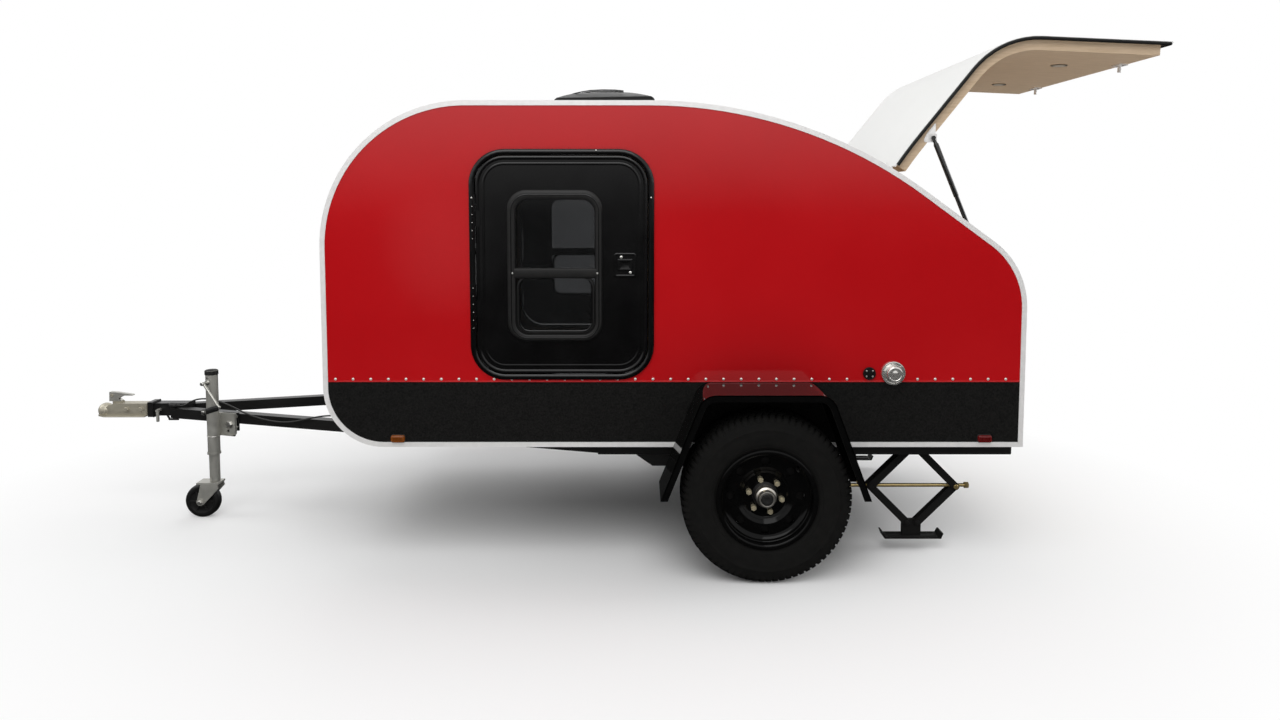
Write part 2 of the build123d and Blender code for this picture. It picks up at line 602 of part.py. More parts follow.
cheek = [(fx - 24, fork_z), (cx - 4, fork_z), (cx + 14, caster_r + 18), (cx + 16, caster_r - 6),
         (cx + 4, caster_r - 18), (cx - 14, caster_r - 14), (fx - 30, fork_z - 24)]
for s in (1, -1):
    fork += plate_xz(cheek, min(fy + s * 31, fy + s * 37), max(fy + s * 31, fy + s * 37))
    fork += bar((cx, fy + s * 31, caster_r), (cx, fy + s * 40, caster_r), 18)
fork += bar((cx, fy - 42, caster_r), (cx, fy + 42, caster_r), 7)
nodes["caster_fork"] = [fork]
caster = bar((cx, fy - 25, caster_r), (cx, fy + 25, caster_r), caster_r)
caster += bar((cx, fy - 29, caster_r), (cx, fy + 29, caster_r), 24)
caster -= bar((cx, fy - 30, caster_r), (cx, fy + 30, caster_r), 7 + fit)
nodes["caster_wheel"] = [caster]

# Scissor stabilisers: four equal arms on pinned joints, a pressed foot and a screw through the knees.
rise = stab_arm * sin(radians(stab_angle))
reach = stab_arm * cos(radians(stab_angle))
knee_z = stab_z - rise
toe_z = stab_z - 2 * rise


def arm_solid(p, q, y_mid, y_in, y_out, hole_p, hole_q, web_up):
    d = Vector(q[0] - p[0], 0, q[1] - p[1])
    at = Plane(origin=((p[0] + q[0]) / 2, y_mid, (p[1] + q[1]) / 2), x_dir=d, z_dir=(0, 1, 0))
    strip = SlotCenterToCenter(stab_arm, 32)
    solid = extrude(at * strip, amount=y_out, both=True) - extrude(at * strip, amount=y_in, both=True)
    up = 1 if (at.y_dir.Z > 0) == web_up else -1
    solid += at * Pos(0, up * 14, 0) * Box(stab_arm - 90, 4, 2 * y_out)
    solid -= bar((p[0], y_mid - 60, p[1]), (p[0], y_mid + 60, p[1]), hole_p)
    solid -= bar((q[0], y_mid - 60, q[1]), (q[0], y_mid + 60, q[1]), hole_q)
    return solid


for side, s in (("left", 1), ("right", -1)):
    y = s * stab_y
    for end, t in (("front", 1), ("rear", -1)):
        top = (stab_x + t * stab_half, stab_z)
        knee = (stab_x + t * (stab_half + reach), knee_z)
        toe = (stab_x + t * stab_half, toe_z)
        knee_hole = 10 + fit
        nodes[f"stab_upper_{end}_{side}"] = [arm_solid(top, knee, y, 20, 25, pin_r + fit, knee_hole, True)]
        lower = arm_solid(knee, toe, y, 13, 18, knee_hole if t == -1 else 1, 7 + fit, False)
        if t == 1:
            for v in (1, -1):
                lower += bar((knee[0], y + v * 13, knee[1]), (knee[0], y + v * 28, knee[1]), 10)
        nodes[f"stab_lower_{end}_{side}"] = [lower]
    foot = block(stab_x - 125, stab_x + 125, y - 38, y + 38, foot_bottom, foot_bottom + 6)
    for t in (1, -1):
        turn = [(stab_x + t * 118, foot_bottom), (stab_x + t * 126, foot_bottom),
                (stab_x + t * 136, foot_bottom + 24), (stab_x + t * 129, foot_bottom + 24)]
        foot += plate_xz(turn, y - 38, y + 38)
    foot += block(stab_x - 42, stab_x + 42, y - 10, y + 10, foot_bottom + 4, toe_z + 12)
    for t in (1, -1):
        foot += bar((stab_x + t * stab_half, y - 21, toe_z), (stab_x + t * stab_half, y + 21, toe_z), 7)
    nodes[f"stab_foot_{side}"] = [foot]
    rear_x = stab_x - stab_half - reach
    screw = bar((rear_x - 50, y, knee_z), (rear_x + 2 * (stab_half + stab_arm) + 36, y, knee_z), 8)
    screw += bar((rear_x, y - 28, knee_z), (rear_x, y + 28, knee_z), 10)
    screw_head = extrude(RegularPolygon(14, 6), 9, both=True)
    screw += Plane(origin=(rear_x - 54, y, knee_z), z_dir=(1, 0, 0)) * screw_head
    nodes[f"stab_screw_{side}"] = [screw]

# Roof vent: a base frame in the roof opening and a low domed lid hinged at its front edge.
base = block(vent_x[0] + 30, vent_x[1] - 30, -vent_w / 2 + 20, vent_w / 2 - 20, roof_z, roof_z + 14)
base += block(vent_mid - hole, vent_mid + hole, -hole, hole, roof_z - wall - 3, roof_z)
lining = hole - 12
base -= block(vent_mid - lining, vent_mid + lining, -lining, lining, roof_z - 40, roof_z + 20)
hinge_vx, hinge_vz = vent_x[1] - 19, roof_z + 20
base += block(hinge_vx - 40, hinge_vx - 8, -60, 60, roof_z + 10, roof_z + 14)
for y in (-100, 100):
    base += block(hinge_vx - 30, hinge_vx + 7, y - 16, y + 16, roof_z, roof_z + 10)
    base += block(hinge_vx - 7, hinge_vx + 7, y - 16, y - 12, roof_z, hinge_vz + 7)
    base += block(hinge_vx - 7, hinge_vx + 7, y + 12, y + 16, roof_z, hinge_vz + 7)
    base += bar((hinge_vx, y - 14, hinge_vz), (hinge_vx, y + 14, hinge_vz), 4)
nodes["vent_base"] = [base]
lid_low = roof_z + 22
lid_top = body_top + vent_h
dome = [(vent_x[0], lid_low), (vent_x[0] + 6, lid_low + 34), (vent_x[0] + 90, lid_top - 26),
        (vent_x[0] + 170, lid_top - 10), (vent_x[0] + 180, lid_top), (vent_x[1] - 180, lid_top),
        (vent_x[1] - 70, lid_top - 30), (vent_x[1], lid_low + 26), (vent_x[1], lid_low)]
inside = [(vent_x[0] + 6, lid_low - 1), (vent_x[0] + 12, lid_low + 30), (vent_x[0] + 94, lid_top - 36),
          (vent_x[1] - 78, lid_top - 36), (vent_x[1] - 8, lid_low + 18), (vent_x[1] - 8, lid_low - 1)]
lid = plate_xz(dome, -vent_w / 2, vent_w / 2)
lid = chamfer(lid.faces().sort_by(Axis.Z)[-1].edges().filter_by(Axis.X), 44)
core = plate_xz(inside, -vent_w / 2 + 8, vent_w / 2 - 8)
lid -= chamfer(core.faces().sort_by(Axis.Z)[-1].edges().filter_by(Axis.X), 44)
for y in (-100, 100):
    lid += block(hinge_vx - 7, hinge_vx + 7, y - 9, y + 9, hinge_vz - 6, lid_low + 24)
    lid -= bar((hinge_vx, y - 20, hinge_vz), (hinge_vx, y + 20, hinge_vz), 4 + fit)
nodes["vent_lid"] = [lid]

# Lamps and inlets on the walls and the tail sill.
marker_z = (body_bottom + marker_up, body_bottom + marker_up + marker_size[1])


def marker(x):
    return rounded((x - marker_size[0] / 2, x + marker_size[0] / 2), marker_z, 8, 0, half, half + marker_t)


tail_y, tail_z = inner - tail_inset, deck_z + tail_up
tail = block(body_rear - 9, body_rear + trim_t, tail_y - tail_lamp[0], tail_y, tail_z, tail_z + tail_lamp[1])
nodes["amber_markers"] = both(marker(amber_x))
nodes["red_lamps"] = both(marker(red_x)) + both(tail)


def inlet(at, r, y0, y1):
    return bar((at[0], y0, at[1]), (at[0], y1, at[1]), r)


nodes["power_inlet"] = [inlet(power_at, power_r, half, half + power_t)]
water = inlet(water_at, water_r, half, half + water_t)
water += inlet(water_at, water_cap[0], half + water_t, half + water_t + water_cap[1])
nodes["water_inlet"] = [water]

# Wiring cable: out of the front cross tube, over the left rail, down its side, past the jack to its plug.
cable_route = [
    (1585, 300, 487), (1655, 300, 487), (1740, 296, 490), (1815, 290, 503), (1890, 288, 520),
    (1965, 292, 530), (2040, 300, 530), (2110, 306, 518), (2178, 301, 501), (2246, 283, 493),
    (2316, 261, 496), (2384, 243, 507), (2452, 222, 525), (2522, 187, 545), (2592, 148, 560),
    (2664, 119, 571), (2730, 101, 569), (2782, 88, 552), (2821.1, 74.2, 525.8), (2850, 66, 525.21),
]
cable_path = FilletPolyline(*cable_route, radius=cable_bend)
cable = sweep(Plane(origin=cable_path @ 0, z_dir=cable_path % 0) * Circle(cable_r), cable_path)
nodes["harness_cable"] = [cable]
plug_dir = Vector(cos(lean), -sin(lean), -0.02)
plug_a = Vector(*cable_route[-1]) + plug_dir * fit
plug_b, plug_c = plug_a + plug_dir * 16, plug_a + plug_dir * 58
plug = bar(tuple(plug_a), tuple(plug_b), 8) + bar(tuple(plug_b), tuple(plug_c), 12)
nodes["harness_plug"] = [plug]

# Everything moves so that X is zero at the middle of the whole trailer, then each node is written.
boxes = [s.bounding_box() for solids in nodes.values() for s in solids]
origin_x = (min(b.min.X for b in boxes) + max(b.max.X for b in boxes)) / 2
for name, solids in nodes.items():
    flat = [p for s in solids for p in s.solids()]
    moved = [Pos(-origin_x, 0, 0) * s for s in flat]
    export_step(moved[0] if len(moved) == 1 else Compound(children=moved), f"parts/{name}.step")
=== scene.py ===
import bpy
import bmesh
from math import atan2, cos, hypot, pi, radians, sin, tan
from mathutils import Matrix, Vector


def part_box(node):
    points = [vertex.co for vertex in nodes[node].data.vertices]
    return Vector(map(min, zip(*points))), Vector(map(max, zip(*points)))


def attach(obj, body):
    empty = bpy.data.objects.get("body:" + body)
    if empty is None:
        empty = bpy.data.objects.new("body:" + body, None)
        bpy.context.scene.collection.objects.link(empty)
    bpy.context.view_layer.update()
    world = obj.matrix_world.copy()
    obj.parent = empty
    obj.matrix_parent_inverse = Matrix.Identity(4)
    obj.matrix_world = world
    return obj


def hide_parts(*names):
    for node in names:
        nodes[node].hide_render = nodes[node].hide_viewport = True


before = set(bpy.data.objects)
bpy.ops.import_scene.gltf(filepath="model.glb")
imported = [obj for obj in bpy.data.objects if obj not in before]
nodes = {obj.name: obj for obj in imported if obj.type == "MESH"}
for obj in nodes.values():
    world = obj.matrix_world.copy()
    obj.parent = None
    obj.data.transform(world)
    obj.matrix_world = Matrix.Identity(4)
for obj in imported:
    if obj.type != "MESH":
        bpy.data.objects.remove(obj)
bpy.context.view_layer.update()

# The trailer is seen from its left side with a 25 mm lens at head height, framed lower than its axis.
# Places are marked out in millimetres from the ground under the axle, forward, to the left and up.
axle_x = sum(corner[0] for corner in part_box("tyre_left")) / 2


def spot(x, y, z):
    return Vector((axle_x + x / 1000, y / 1000, z / 1000))


scene = bpy.context.scene
scene.view_settings.view_transform = "Standard"
side_camera = bpy.data.objects.new("side_camera", bpy.data.cameras.new("side_camera"))
side_camera.data.sensor_width = 36
side_camera.data.lens = 25.12
side_camera.data.shift_y = -0.0743
side_camera.location = spot(517, 4528, 1573)
side_camera.rotation_euler = (radians(90 - 4.265), 0, pi)
scene.collection.objects.link(side_camera)
scene.camera = side_camera


# The studio is a pale paper floor that runs out to plain white, under a pale ceiling and upper walls.
# Gloss and metal mirror white above the horizon and dark below it, with a soft pale card beside the camera.
# A broad soft box on each side and a smaller one at each end light the trailer.
class Value:
    """One output of a finish's nodes. Arithmetic on values adds Math nodes to that finish."""

    def __init__(self, finish, socket):
        self.finish = finish
        self.socket = socket

    def math(self, operation, first, second):
        return self.finish.node("ShaderNodeMath", {"operation": operation}, {0: first, 1: second})

    def __add__(self, other):
        return self.math("ADD", self, other)

    def __sub__(self, other):
        return self.math("SUBTRACT", self, other)

    def __rsub__(self, other):
        return self.math("SUBTRACT", other, self)

    def __mul__(self, other):
        return self.math("MULTIPLY", self, other)

    def __truediv__(self, other):
        return self.math("DIVIDE", self, other)

    def __gt__(self, other):
        return self.math("GREATER_THAN", self, other)

    def __lt__(self, other):
        return self.math("LESS_THAN", self, other)

    def __pow__(self, other):
        return self.math("POWER", self, other)

    def bigger(self, other):
        return self.math("MAXIMUM", self, other)

    def smaller(self, other):
        return self.math("MINIMUM", self, other)

    def __abs__(self):
        return self.math("ABSOLUTE", self, 0)

    __radd__ = __add__
    __rmul__ = __mul__


class Finish:
    """A node tree whose shader takes plain settings on its own sockets and values from other nodes."""

    def __init__(self, owner, shader):
        owner.use_nodes = True
        self.owner = owner
        self.tree = owner.node_tree
        self.shader = self.tree.nodes[shader]

    def feed(self, socket, given):
        if isinstance(given, Value):
            self.tree.links.new(given.socket, socket)
        else:
            socket.default_value = given

    def node(self, kind, settings, inputs, output=0):
        made = self.tree.nodes.new(kind)
        for name, setting in settings.items():
            setattr(made, name, setting)
        for name, given in inputs.items():
            self.feed(made.inputs[name], given)
        return Value(self, made.outputs[output])

    def set(self, inputs):
        for name, given in inputs.items():
            self.feed(self.shader.inputs[name], given)
        return self

    def place(self, stretch=(1, 1, 1)):
        at = self.node("ShaderNodeTexCoord", {}, {}, "Object")
        return self.node("ShaderNodeVectorMath", {"operation": "MULTIPLY"}, {0: at, 1: stretch})

    def along(self, axis):
        return self.node("ShaderNodeSeparateXYZ", {}, {0: self.place()}, axis)

    def noise(self, scale, detail=2.0, stretch=(1, 1, 1)):
        at = self.place(stretch)
        return self.node("ShaderNodeTexNoise", {}, {"Vector": at, "Scale": scale, "Detail": detail})

    def mix(self, mask, low, high):
        low, high = (tone if isinstance(tone, Value) else (*tone, 1) for tone in (low, high))
        return self.node("ShaderNodeMix", {"data_type": "RGBA"}, {0: mask, 6: low, 7: high}, 2)

    def relief(self, height, distance, strength=1.0):
        bump = {"Height": height, "Distance": distance, "Strength": strength}
        return self.node("ShaderNodeBump", {}, bump)


def finish(name, inputs):
    return Finish(bpy.data.materials.new(name), "Principled BSDF").set(inputs)


def seen_directly(look):
    """1 for what the camera sees straight or through glass, and 0 for the rest."""
    straight = look.node("ShaderNodeLightPath", {}, {}, "Is Camera Ray")
    return straight.bigger(look.node("ShaderNodeLightPath", {}, {}, "Is Transmission Ray"))


scene.world = bpy.data.worlds.new("ceiling")
sky = Finish(scene.world, "Background")
way = sky.node("ShaderNodeTexCoord", {}, {}, "Generated")
height = sky.node("ShaderNodeSeparateXYZ", {}, {0: way}, "Z")
ceiling = ((height - 0.3) / 0.4).bigger(0).smaller(1)
upper_wall = ((height + 0.02) / 0.12).bigger(0).smaller(1)
across = sky.node("ShaderNodeSeparateXYZ", {}, {0: way}, "X")
toward = sky.node("ShaderNodeSeparateXYZ", {}, {0: way}, "Y")
card = 1 - ((across / toward - 0.22) / 0.075) ** 2 - ((height / toward + 0.04) / 0.10) ** 2
card = card.bigger(0).smaller(1) * (toward > 0)
lit = 0.02 + (0.40 * upper_wall).bigger(0.34 * card) + 0.04 * ceiling
mirrored = upper_wall * sky.node("ShaderNodeLightPath", {}, {}, "Is Glossy Ray")
sky.set({"Color": (1, 1, 1, 1), "Strength": lit.bigger(mirrored).bigger(seen_directly(sky))})

paper = finish("floor_paper", {"Roughness": 0.9, "Specular IOR Level": 0.05})
fibre = paper.noise(900, 2.0)
paper.set({"Base Color": paper.mix(fibre, (0.87, 0.87, 0.87), (0.91, 0.91, 0.91))})
far = paper.node("ShaderNodeVectorMath", {"operation": "LENGTH"}, {0: paper.place((0.8, 1, 1))}, "Value")
fade = ((far - 1.1) / 1.6).bigger(0).smaller(1) * seen_directly(paper)
glow = paper.node("ShaderNodeEmission", {}, {"Color": (1, 1, 1, 1), "Strength": 1.0})
sheet = Value(paper, paper.shader.outputs[0])
paper_end = paper.node("ShaderNodeMixShader", {}, {0: fade, 1: sheet, 2: glow})
paper.feed(paper.tree.nodes["Material Output"].inputs["Surface"], paper_end)
floor_mesh = bpy.data.meshes.new("paper_floor")
floor_mesh.from_pydata([(-60, -60, 0), (60, -60, 0), (60, 60, 0), (-60, 60, 0)], [], [(0, 1, 2, 3)])
floor_mesh.materials.append(paper.owner)
paper_floor = bpy.data.objects.new("paper_floor", floor_mesh)
paper_floor.visible_glossy = False
scene.collection.objects.link(paper_floor)

soft_boxes = (
    ("near_soft_box", (0.4, 4.2, 5.4), (0.08, 0.6, 0.8), 5.0, 200),
    ("far_soft_box", (0.4, -4.2, 5.4), (0.08, -0.6, 0.8), 5.0, 105),
    ("rear_soft_box", (-6.4, 0.0, 3.6), (-0.9, 0.0, 0.42), 3.0, 105),
    ("front_soft_box", (6.4, 0.0, 3.6), (0.9, 0.0, 0.42), 3.0, 62),
)
for name, place, facing, size, power in soft_boxes:
    soft_box = bpy.data.objects.new(name, bpy.data.lights.new(name, "AREA"))
    soft_box.data.size = size
    soft_box.data.energy = power
    soft_box.location = place
    soft_box.rotation_euler = Vector(facing).to_track_quat("Z", "Y").to_euler()
    soft_box.visible_camera = False
    scene.collection.objects.link(soft_box)


# Wiring cable: a black rubber sheath about 8 mm thick and 1.33 m long, from a grommet in the front tube.
# It passes over the left rail, sags along its outer face and runs behind the jack to a moulded plug.
rubber = finish("cable_rubber", {"Specular IOR Level": 0.35})
sheath = rubber.noise(60, 3.0)
rubber.set({
    "Base Color": rubber.mix(sheath, (0.008, 0.008, 0.008), (0.024, 0.023, 0.022)),
    "Roughness": 0.38 + 0.22 * sheath,
    "Normal": rubber.relief(rubber.noise(700), 0.0004),
})
cable_route = [
    (1585, 300, 487), (1655, 300, 487), (1740, 296, 490), (1815, 290, 503), (1890, 288, 520),
    (1965, 292, 530), (2040, 300, 530), (2110, 306, 518), (2178, 301, 501), (2246, 283, 493),
    (2316, 261, 496), (2384, 243, 507), (2452, 222, 525), (2522, 187, 545), (2592, 148, 560),
    (2664, 119, 571), (2730, 101, 569), (2782, 88, 552), (2821.1, 74.2, 525.8), (2850, 66, 525.21),
]
cable_line = bpy.data.curves.new("wiring_cable", "CURVE")
cable_line.dimensions = "3D"
cable_line.bevel_depth = 0.004
cable_line.bevel_resolution = 4
cable_line.resolution_u = 8
strand = cable_line.splines.new("NURBS")
strand.points.add(len(cable_route) - 1)
for point, at in zip(strand.points, cable_route):
    point.co = (*spot(*at), 1)
strand.order_u = 3
strand.use_endpoint_u = True
cable_line.materials.append(rubber.owner)
wiring_cable = bpy.data.objects.new("wiring_cable", cable_line)
scene.collection.objects.link(wiring_cable)
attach(wiring_cable, "trailer")
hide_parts("harness_cable")


def piece(name, shape, look, body, crease=35):
    """Makes a bmesh into a piece of the trailer that moves with a body."""
    bmesh.ops.recalc_face_normals(shape, faces=shape.faces)
    mesh = bpy.data.meshes.new(name)
    shape.to_mesh(mesh)
    shape.free()
    mesh.materials.append(look.owner)
    mesh.shade_smooth()
    mesh.set_sharp_from_angle(angle=radians(crease))
    made = bpy.data.objects.new(name, mesh)
    scene.collection.objects.link(made)
    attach(made, body)
    return made


def turned(shape, profile, at, axis, steps=32):
    """Turns a profile of (radius, height) in mm about an axis through a point. Radius 0 makes a pole."""
    turn = Vector(axis).normalized().to_track_quat("Z", "Y").to_matrix()
    rings = []
    for r, h in profile:
        if r == 0:
            rings.append([shape.verts.new(at + turn @ Vector((0, 0, h / 1000)))])
            continue
        ring = []
        for k in range(steps):
            a = 2 * pi * k / steps
            ring.append(shape.verts.new(at + turn @ Vector((r * cos(a), r * sin(a), h)) / 1000))
        rings.append(ring)
    for one, two in zip(rings, rings[1:]):
        for k in range(steps):
            n = (k + 1) % steps
            corners = [one[k % len(one)], one[n % len(one)], two[n % len(two)], two[k % len(two)]]
            shape.faces.new(list(dict.fromkeys(corners)))


plug_look = finish("plug_rubber", {"Roughness": 0.55, "Specular IOR Level": 0.3})
plug_grain = plug_look.noise(900)
plug_look.set({
    "Base Color": plug_look.mix(plug_grain, (0.010, 0.010, 0.010), (0.022, 0.021, 0.020)),
    "Normal": plug_look.relief(plug_grain, 0.0003),
})
plug_axis = (spot(2850, 66, 525.21) - spot(2821.1, 74.2, 525.8)).normalized()
shape = bmesh.new()
plug_turn = [(0, 0), (4.6, 0), (5.4, 4), (7.8, 7), (6.4, 8), (6.4, 9.5), (8.0, 10.5), (8.0, 15), (11.4, 17),
             (12, 20)]
for k in range(5):
    plug_turn += [(12, 23 + 6 * k), (11.2, 24 + 6 * k), (11.2, 25.4 + 6 * k), (12, 26.4 + 6 * k)]
plug_turn += [(12, 55), (11, 58), (7, 58), (7, 56), (0, 56)]
turned(shape, plug_turn, spot(2850, 66, 525.21) + plug_axis * 0.00005, plug_axis, 24)
wiring_plug = piece("wiring_plug", shape, plug_look, "trailer")
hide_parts("harness_plug")
shape = bmesh.new()
grommet_turn = [(4.1, -1), (11, -1), (11, 3), (8, 5), (7, 14), (5.6, 26), (4.2, 28), (4.1, -1)]
turned(shape, grommet_turn, spot(1585, 300, 487), (1, 0, 0), 24)
piece("cable_grommet", shape, plug_look, "trailer")
spot(1585, 300, 487)


# Side walls: red-faced sheet over a plywood core, 30 mm thick in all, waved very slightly as sheet is.
# Bright pop rivets hold its lower edge over the black band every 75 mm.
def dress(look, *names):
    """Gives named parts of the bare model a finish."""
    for name in names:
        for slot in nodes[name].material_slots:
            slot.material = look.owner


def lined(look, tone, rough, coat):
    """Faces a wall's inner side with varnished plywood, behind the finish of its outer sheet."""
    inner_face = 0.7335
    inside = abs(look.along("Y")) < inner_face
    sawn = look.noise(5.0, 5.0, (2.0, 30, 30))
    wood = look.mix(sawn, (0.43, 0.295, 0.175), (0.80, 0.63, 0.45))
    look.set({
        "Base Color": look.mix(inside, tone, wood),
        "Roughness": rough + (0.5 - rough) * inside,
    })
    if coat:
        look.set({"Coat Weight": coat - coat * inside})


red = finish("red_gloss_sheet", {"Coat Roughness": 0.04, "Specular IOR Level": 0.3})
red_cloud = red.noise(1.6, 3.0, (1, 0.1, 1))
red_peel = red.noise(420, 2.0)
red_tone = red.mix(red_cloud, (0.405, 0.0027, 0.0052), (0.515, 0.0052, 0.0084))
lined(red, red_tone, 0.10 + 0.10 * red_cloud, 0.55)
red.set({"Normal": red.relief(red_peel * 0.02 + red.noise(2.2, 1.0, (1, 0.2, 1)), 0.0016)})
dress(red, "side_panels")
half = 762
both_sides = ((1, "left"), (-1, "right"))
rivet_look = finish("rivet_aluminium", {"Metallic": 0.5})
rivet_wear = rivet_look.noise(700, 3.0)
rivet_look.set({
    "Base Color": rivet_look.mix(rivet_wear, (0.62, 0.60, 0.56), (0.86, 0.84, 0.80)),
    "Roughness": 0.24 + 0.2 * rivet_wear,
})
rivet_dome = [(5.8, -0.4), (5.8, 0.5), (5.0, 1.5), (3.4, 2.3), (1.6, 2.6), (1.3, 1.9), (0, 1.8)]
seam_z, seam_front, seam_pitch, seam_rivets = 803, 1817, 75.3, 39
filler_x, filler_z, inlet_x, inlet_z = -562, 830, -461, 828
for side, name in both_sides:
    shape = bmesh.new()
    for k in range(seam_rivets):
        x = seam_front - seam_pitch * k
        at_filler = hypot(x - filler_x, seam_z - filler_z) < 58
        at_inlet = hypot(x - inlet_x, seam_z - inlet_z) < 34
        if side < 0 or not (at_filler or at_inlet):
            turned(shape, rivet_dome, spot(x, side * half, seam_z), (0, side, 0), 14)
    piece(f"seam_rivets_{name}", shape, rivet_look, "trailer")

# Lower bands: black coating sprayed thick on the sheet, with a pebbled, almost matte face.
# The red sheet laps 1 mm over the band's top edge along the rivet line.
band = finish("black_pebble_coat", {"Specular IOR Level": 0.10})
pebble_size = {"Vector": band.place(), "Scale": 190.0, "Smoothness": 0.7}
pebble = band.node("ShaderNodeTexVoronoi", {"feature": "SMOOTH_F1"}, pebble_size)
speck = (band.noise(170, 4.0) * 2.4 - 0.7).bigger(0).smaller(1)
band_tone = band.mix(speck, (0.0014, 0.0014, 0.0013), (0.0125, 0.0122, 0.0115))
lined(band, band_tone, 0.62 + 0.25 * speck, 0)
band.set({"Normal": band.relief(speck - pebble, 0.0012, 0.8)})
dress(band, "side_bands")


def skin(shape, rows, closed=True, capped=False):
    """Joins rows of points, each a closed ring, into one surface."""
    rings = [[shape.verts.new(p) for p in row] for row in rows]
    pairs = list(zip(rings, rings[1:])) + ([(rings[-1], rings[0])] if closed else [])
    for one, two in pairs:
        for k in range(len(one)):
            n = (k + 1) % len(one)
            shape.faces.new((one[k], one[n], two[n], two[k]))
    if capped:
        shape.faces.new(rings[0])
        shape.faces.new(rings[-1])


for side, name in both_sides:
    shape = bmesh.new()
    lap = [(0, 790.6), (1.2, 790.8), (1.2, 793.5), (0.6, 796), (0, 796.2)]
    ends = (1866, -1121)
    skin(shape, [[spot(x, side * (half + y), z) for y, z in lap] for x in ends], closed=False, capped=True)
    piece(f"sheet_lap_{name}", shape, red, "trailer")

# Edge trims: satin aluminium angle round each wall, drawn along its length, so its scratches run with it.
# It covers the joint of wall and roof, and the hatch's long hinge is of the same metal.
trim = finish("satin_aluminium", {"Metallic": 0.25})
drawn = trim.noise(40, 4.0, (1, 60, 1))
trim.set({
    "Base Color": trim.mix(drawn, (0.75, 0.74, 0.73), (0.90, 0.89, 0.88)),
    "Roughness": 0.36 + 0.2 * drawn,
    "Normal": trim.relief(trim.noise(300, 2.0), 0.0002),
})
dress(trim, "edge_trims", "hatch_hinge")

# Roof and hatch skins: white sheet with a soft gloss, slightly wavy, with a trace of road dust.
# The roof's is bent over the front in one piece, and the hatch's is glued to its frame.
white = finish("white_gloss_sheet", {"Specular IOR Level": 0.10})
dust = white.noise(2.4, 4.0)
white.set({
    "Base Color": white.mix(dust, (0.72, 0.72, 0.705), (0.79, 0.79, 0.78)),
    "Roughness": 0.38 + 0.16 * dust,
    "Normal": white.relief(white.noise(3.0, 1.0), 0.001),
})
dress(white, "roof_shell", "hatch_skin")

# Plywood: rotary-cut birch in thin varnished sheets, with long soft grain and fine dark flecks.
# The bulkhead, the galley's shelves and the hatch's frame are sawn from it and glued.
ply = finish("varnished_plywood", {"Coat Weight": 0.15, "Coat Roughness": 0.25, "Specular IOR Level": 0.4})
grain = ply.noise(5.0, 5.0, (2.0, 30, 30))
fleck = ply.noise(70, 3.0, (0.4, 6, 6))
ply.set({
    "Base Color": ply.mix(grain * 0.75 + fleck * 0.25, (0.43, 0.295, 0.175), (0.80, 0.63, 0.45)),
    "Roughness": 0.42 + 0.2 * fleck,
    "Normal": ply.relief(fleck, 0.0004),
})
dress(ply, "bulkhead", "galley_shelves", "hatch_frame")

# Floor deck: one plywood sheet, varnished inside and sealed underneath with brushed black undercoat, whose
# black also deepens the shade on the floor beneath.
# The tail sill is glued along its rear edge.
deck = finish("deck_plywood", {"Specular IOR Level": 0.3})
deck_grain = deck.noise(5.0, 5.0, (2.0, 30, 30))
facing = deck.node("ShaderNodeNewGeometry", {}, {}, "Normal")
underside = deck.node("ShaderNodeSeparateXYZ", {}, {0: facing}, "Z") < -0.5
wood_tone = deck.mix(deck_grain, (0.40, 0.27, 0.155), (0.66, 0.50, 0.34))
# Black undercoat on the underside, also chosen so that the floor beneath shows a darker, greyer shade.
undercoat_and_shade = deck.mix(deck_grain, (0.010, 0.010, 0.010), (0.022, 0.021, 0.020))
deck.set({
    "Base Color": deck.mix(underside, wood_tone, undercoat_and_shade),
    "Roughness": 0.46 + 0.25 * deck_grain,
    "Normal": deck.relief(deck_grain, 0.0004),
})
dress(deck, "floor_deck")

# Side doors: a moulded black frame clamped through the wall and a leaf of the same gloss moulding.
# The frame has a full bead, the leaf a raised border, and the window a soft gasket and a sliding sash.
door_look = finish("black_door_moulding", {
    "Coat Weight": 0.3,
    "Coat Roughness": 0.05,
    "Specular IOR Level": 0.22,
})
swirl = door_look.noise(8, 3.0)
door_look.set({
    "Base Color": door_look.mix(swirl, (0.0014, 0.0013, 0.0014), (0.0040, 0.0038, 0.0040)),
    "Roughness": 0.14 + 0.16 * swirl,
    "Normal": door_look.relief(door_look.noise(3.0, 1.0) + door_look.noise(260, 2.0) * 0.02, 0.0008),
})
gasket = finish("window_gasket", {"Specular IOR Level": 0.25})
gasket_bloom = gasket.noise(45, 3.0)
gasket.set({
    "Base Color": gasket.mix(gasket_bloom, (0.006, 0.006, 0.006), (0.016, 0.0155, 0.015)),
    "Roughness": 0.36 + 0.2 * gasket_bloom,
    "Normal": gasket.relief(gasket.noise(500), 0.0003),
})
glass = finish("tinted_window_glass", {"IOR": 1.45, "Transmission Weight": 1.0, "Roughness": 0.02})
smear = glass.noise(6, 3.0)
glass.set({"Base Color": glass.mix(smear, (0.145, 0.147, 0.150), (0.195, 0.198, 0.202))})
screw_look = finish("screw_steel", {"Metallic": 1.0})
screw_wear = screw_look.noise(900, 2.0)
screw_look.set({
    "Base Color": screw_look.mix(screw_wear, (0.50, 0.49, 0.46), (0.76, 0.75, 0.72)),
    "Roughness": 0.25 + 0.2 * screw_wear,
})
dress(door_look, "door_frames", "door_leaf_left", "door_leaf_right", "door_latch_left", "door_latch_right")
dress(glass, "door_glass_left", "door_glass_right")


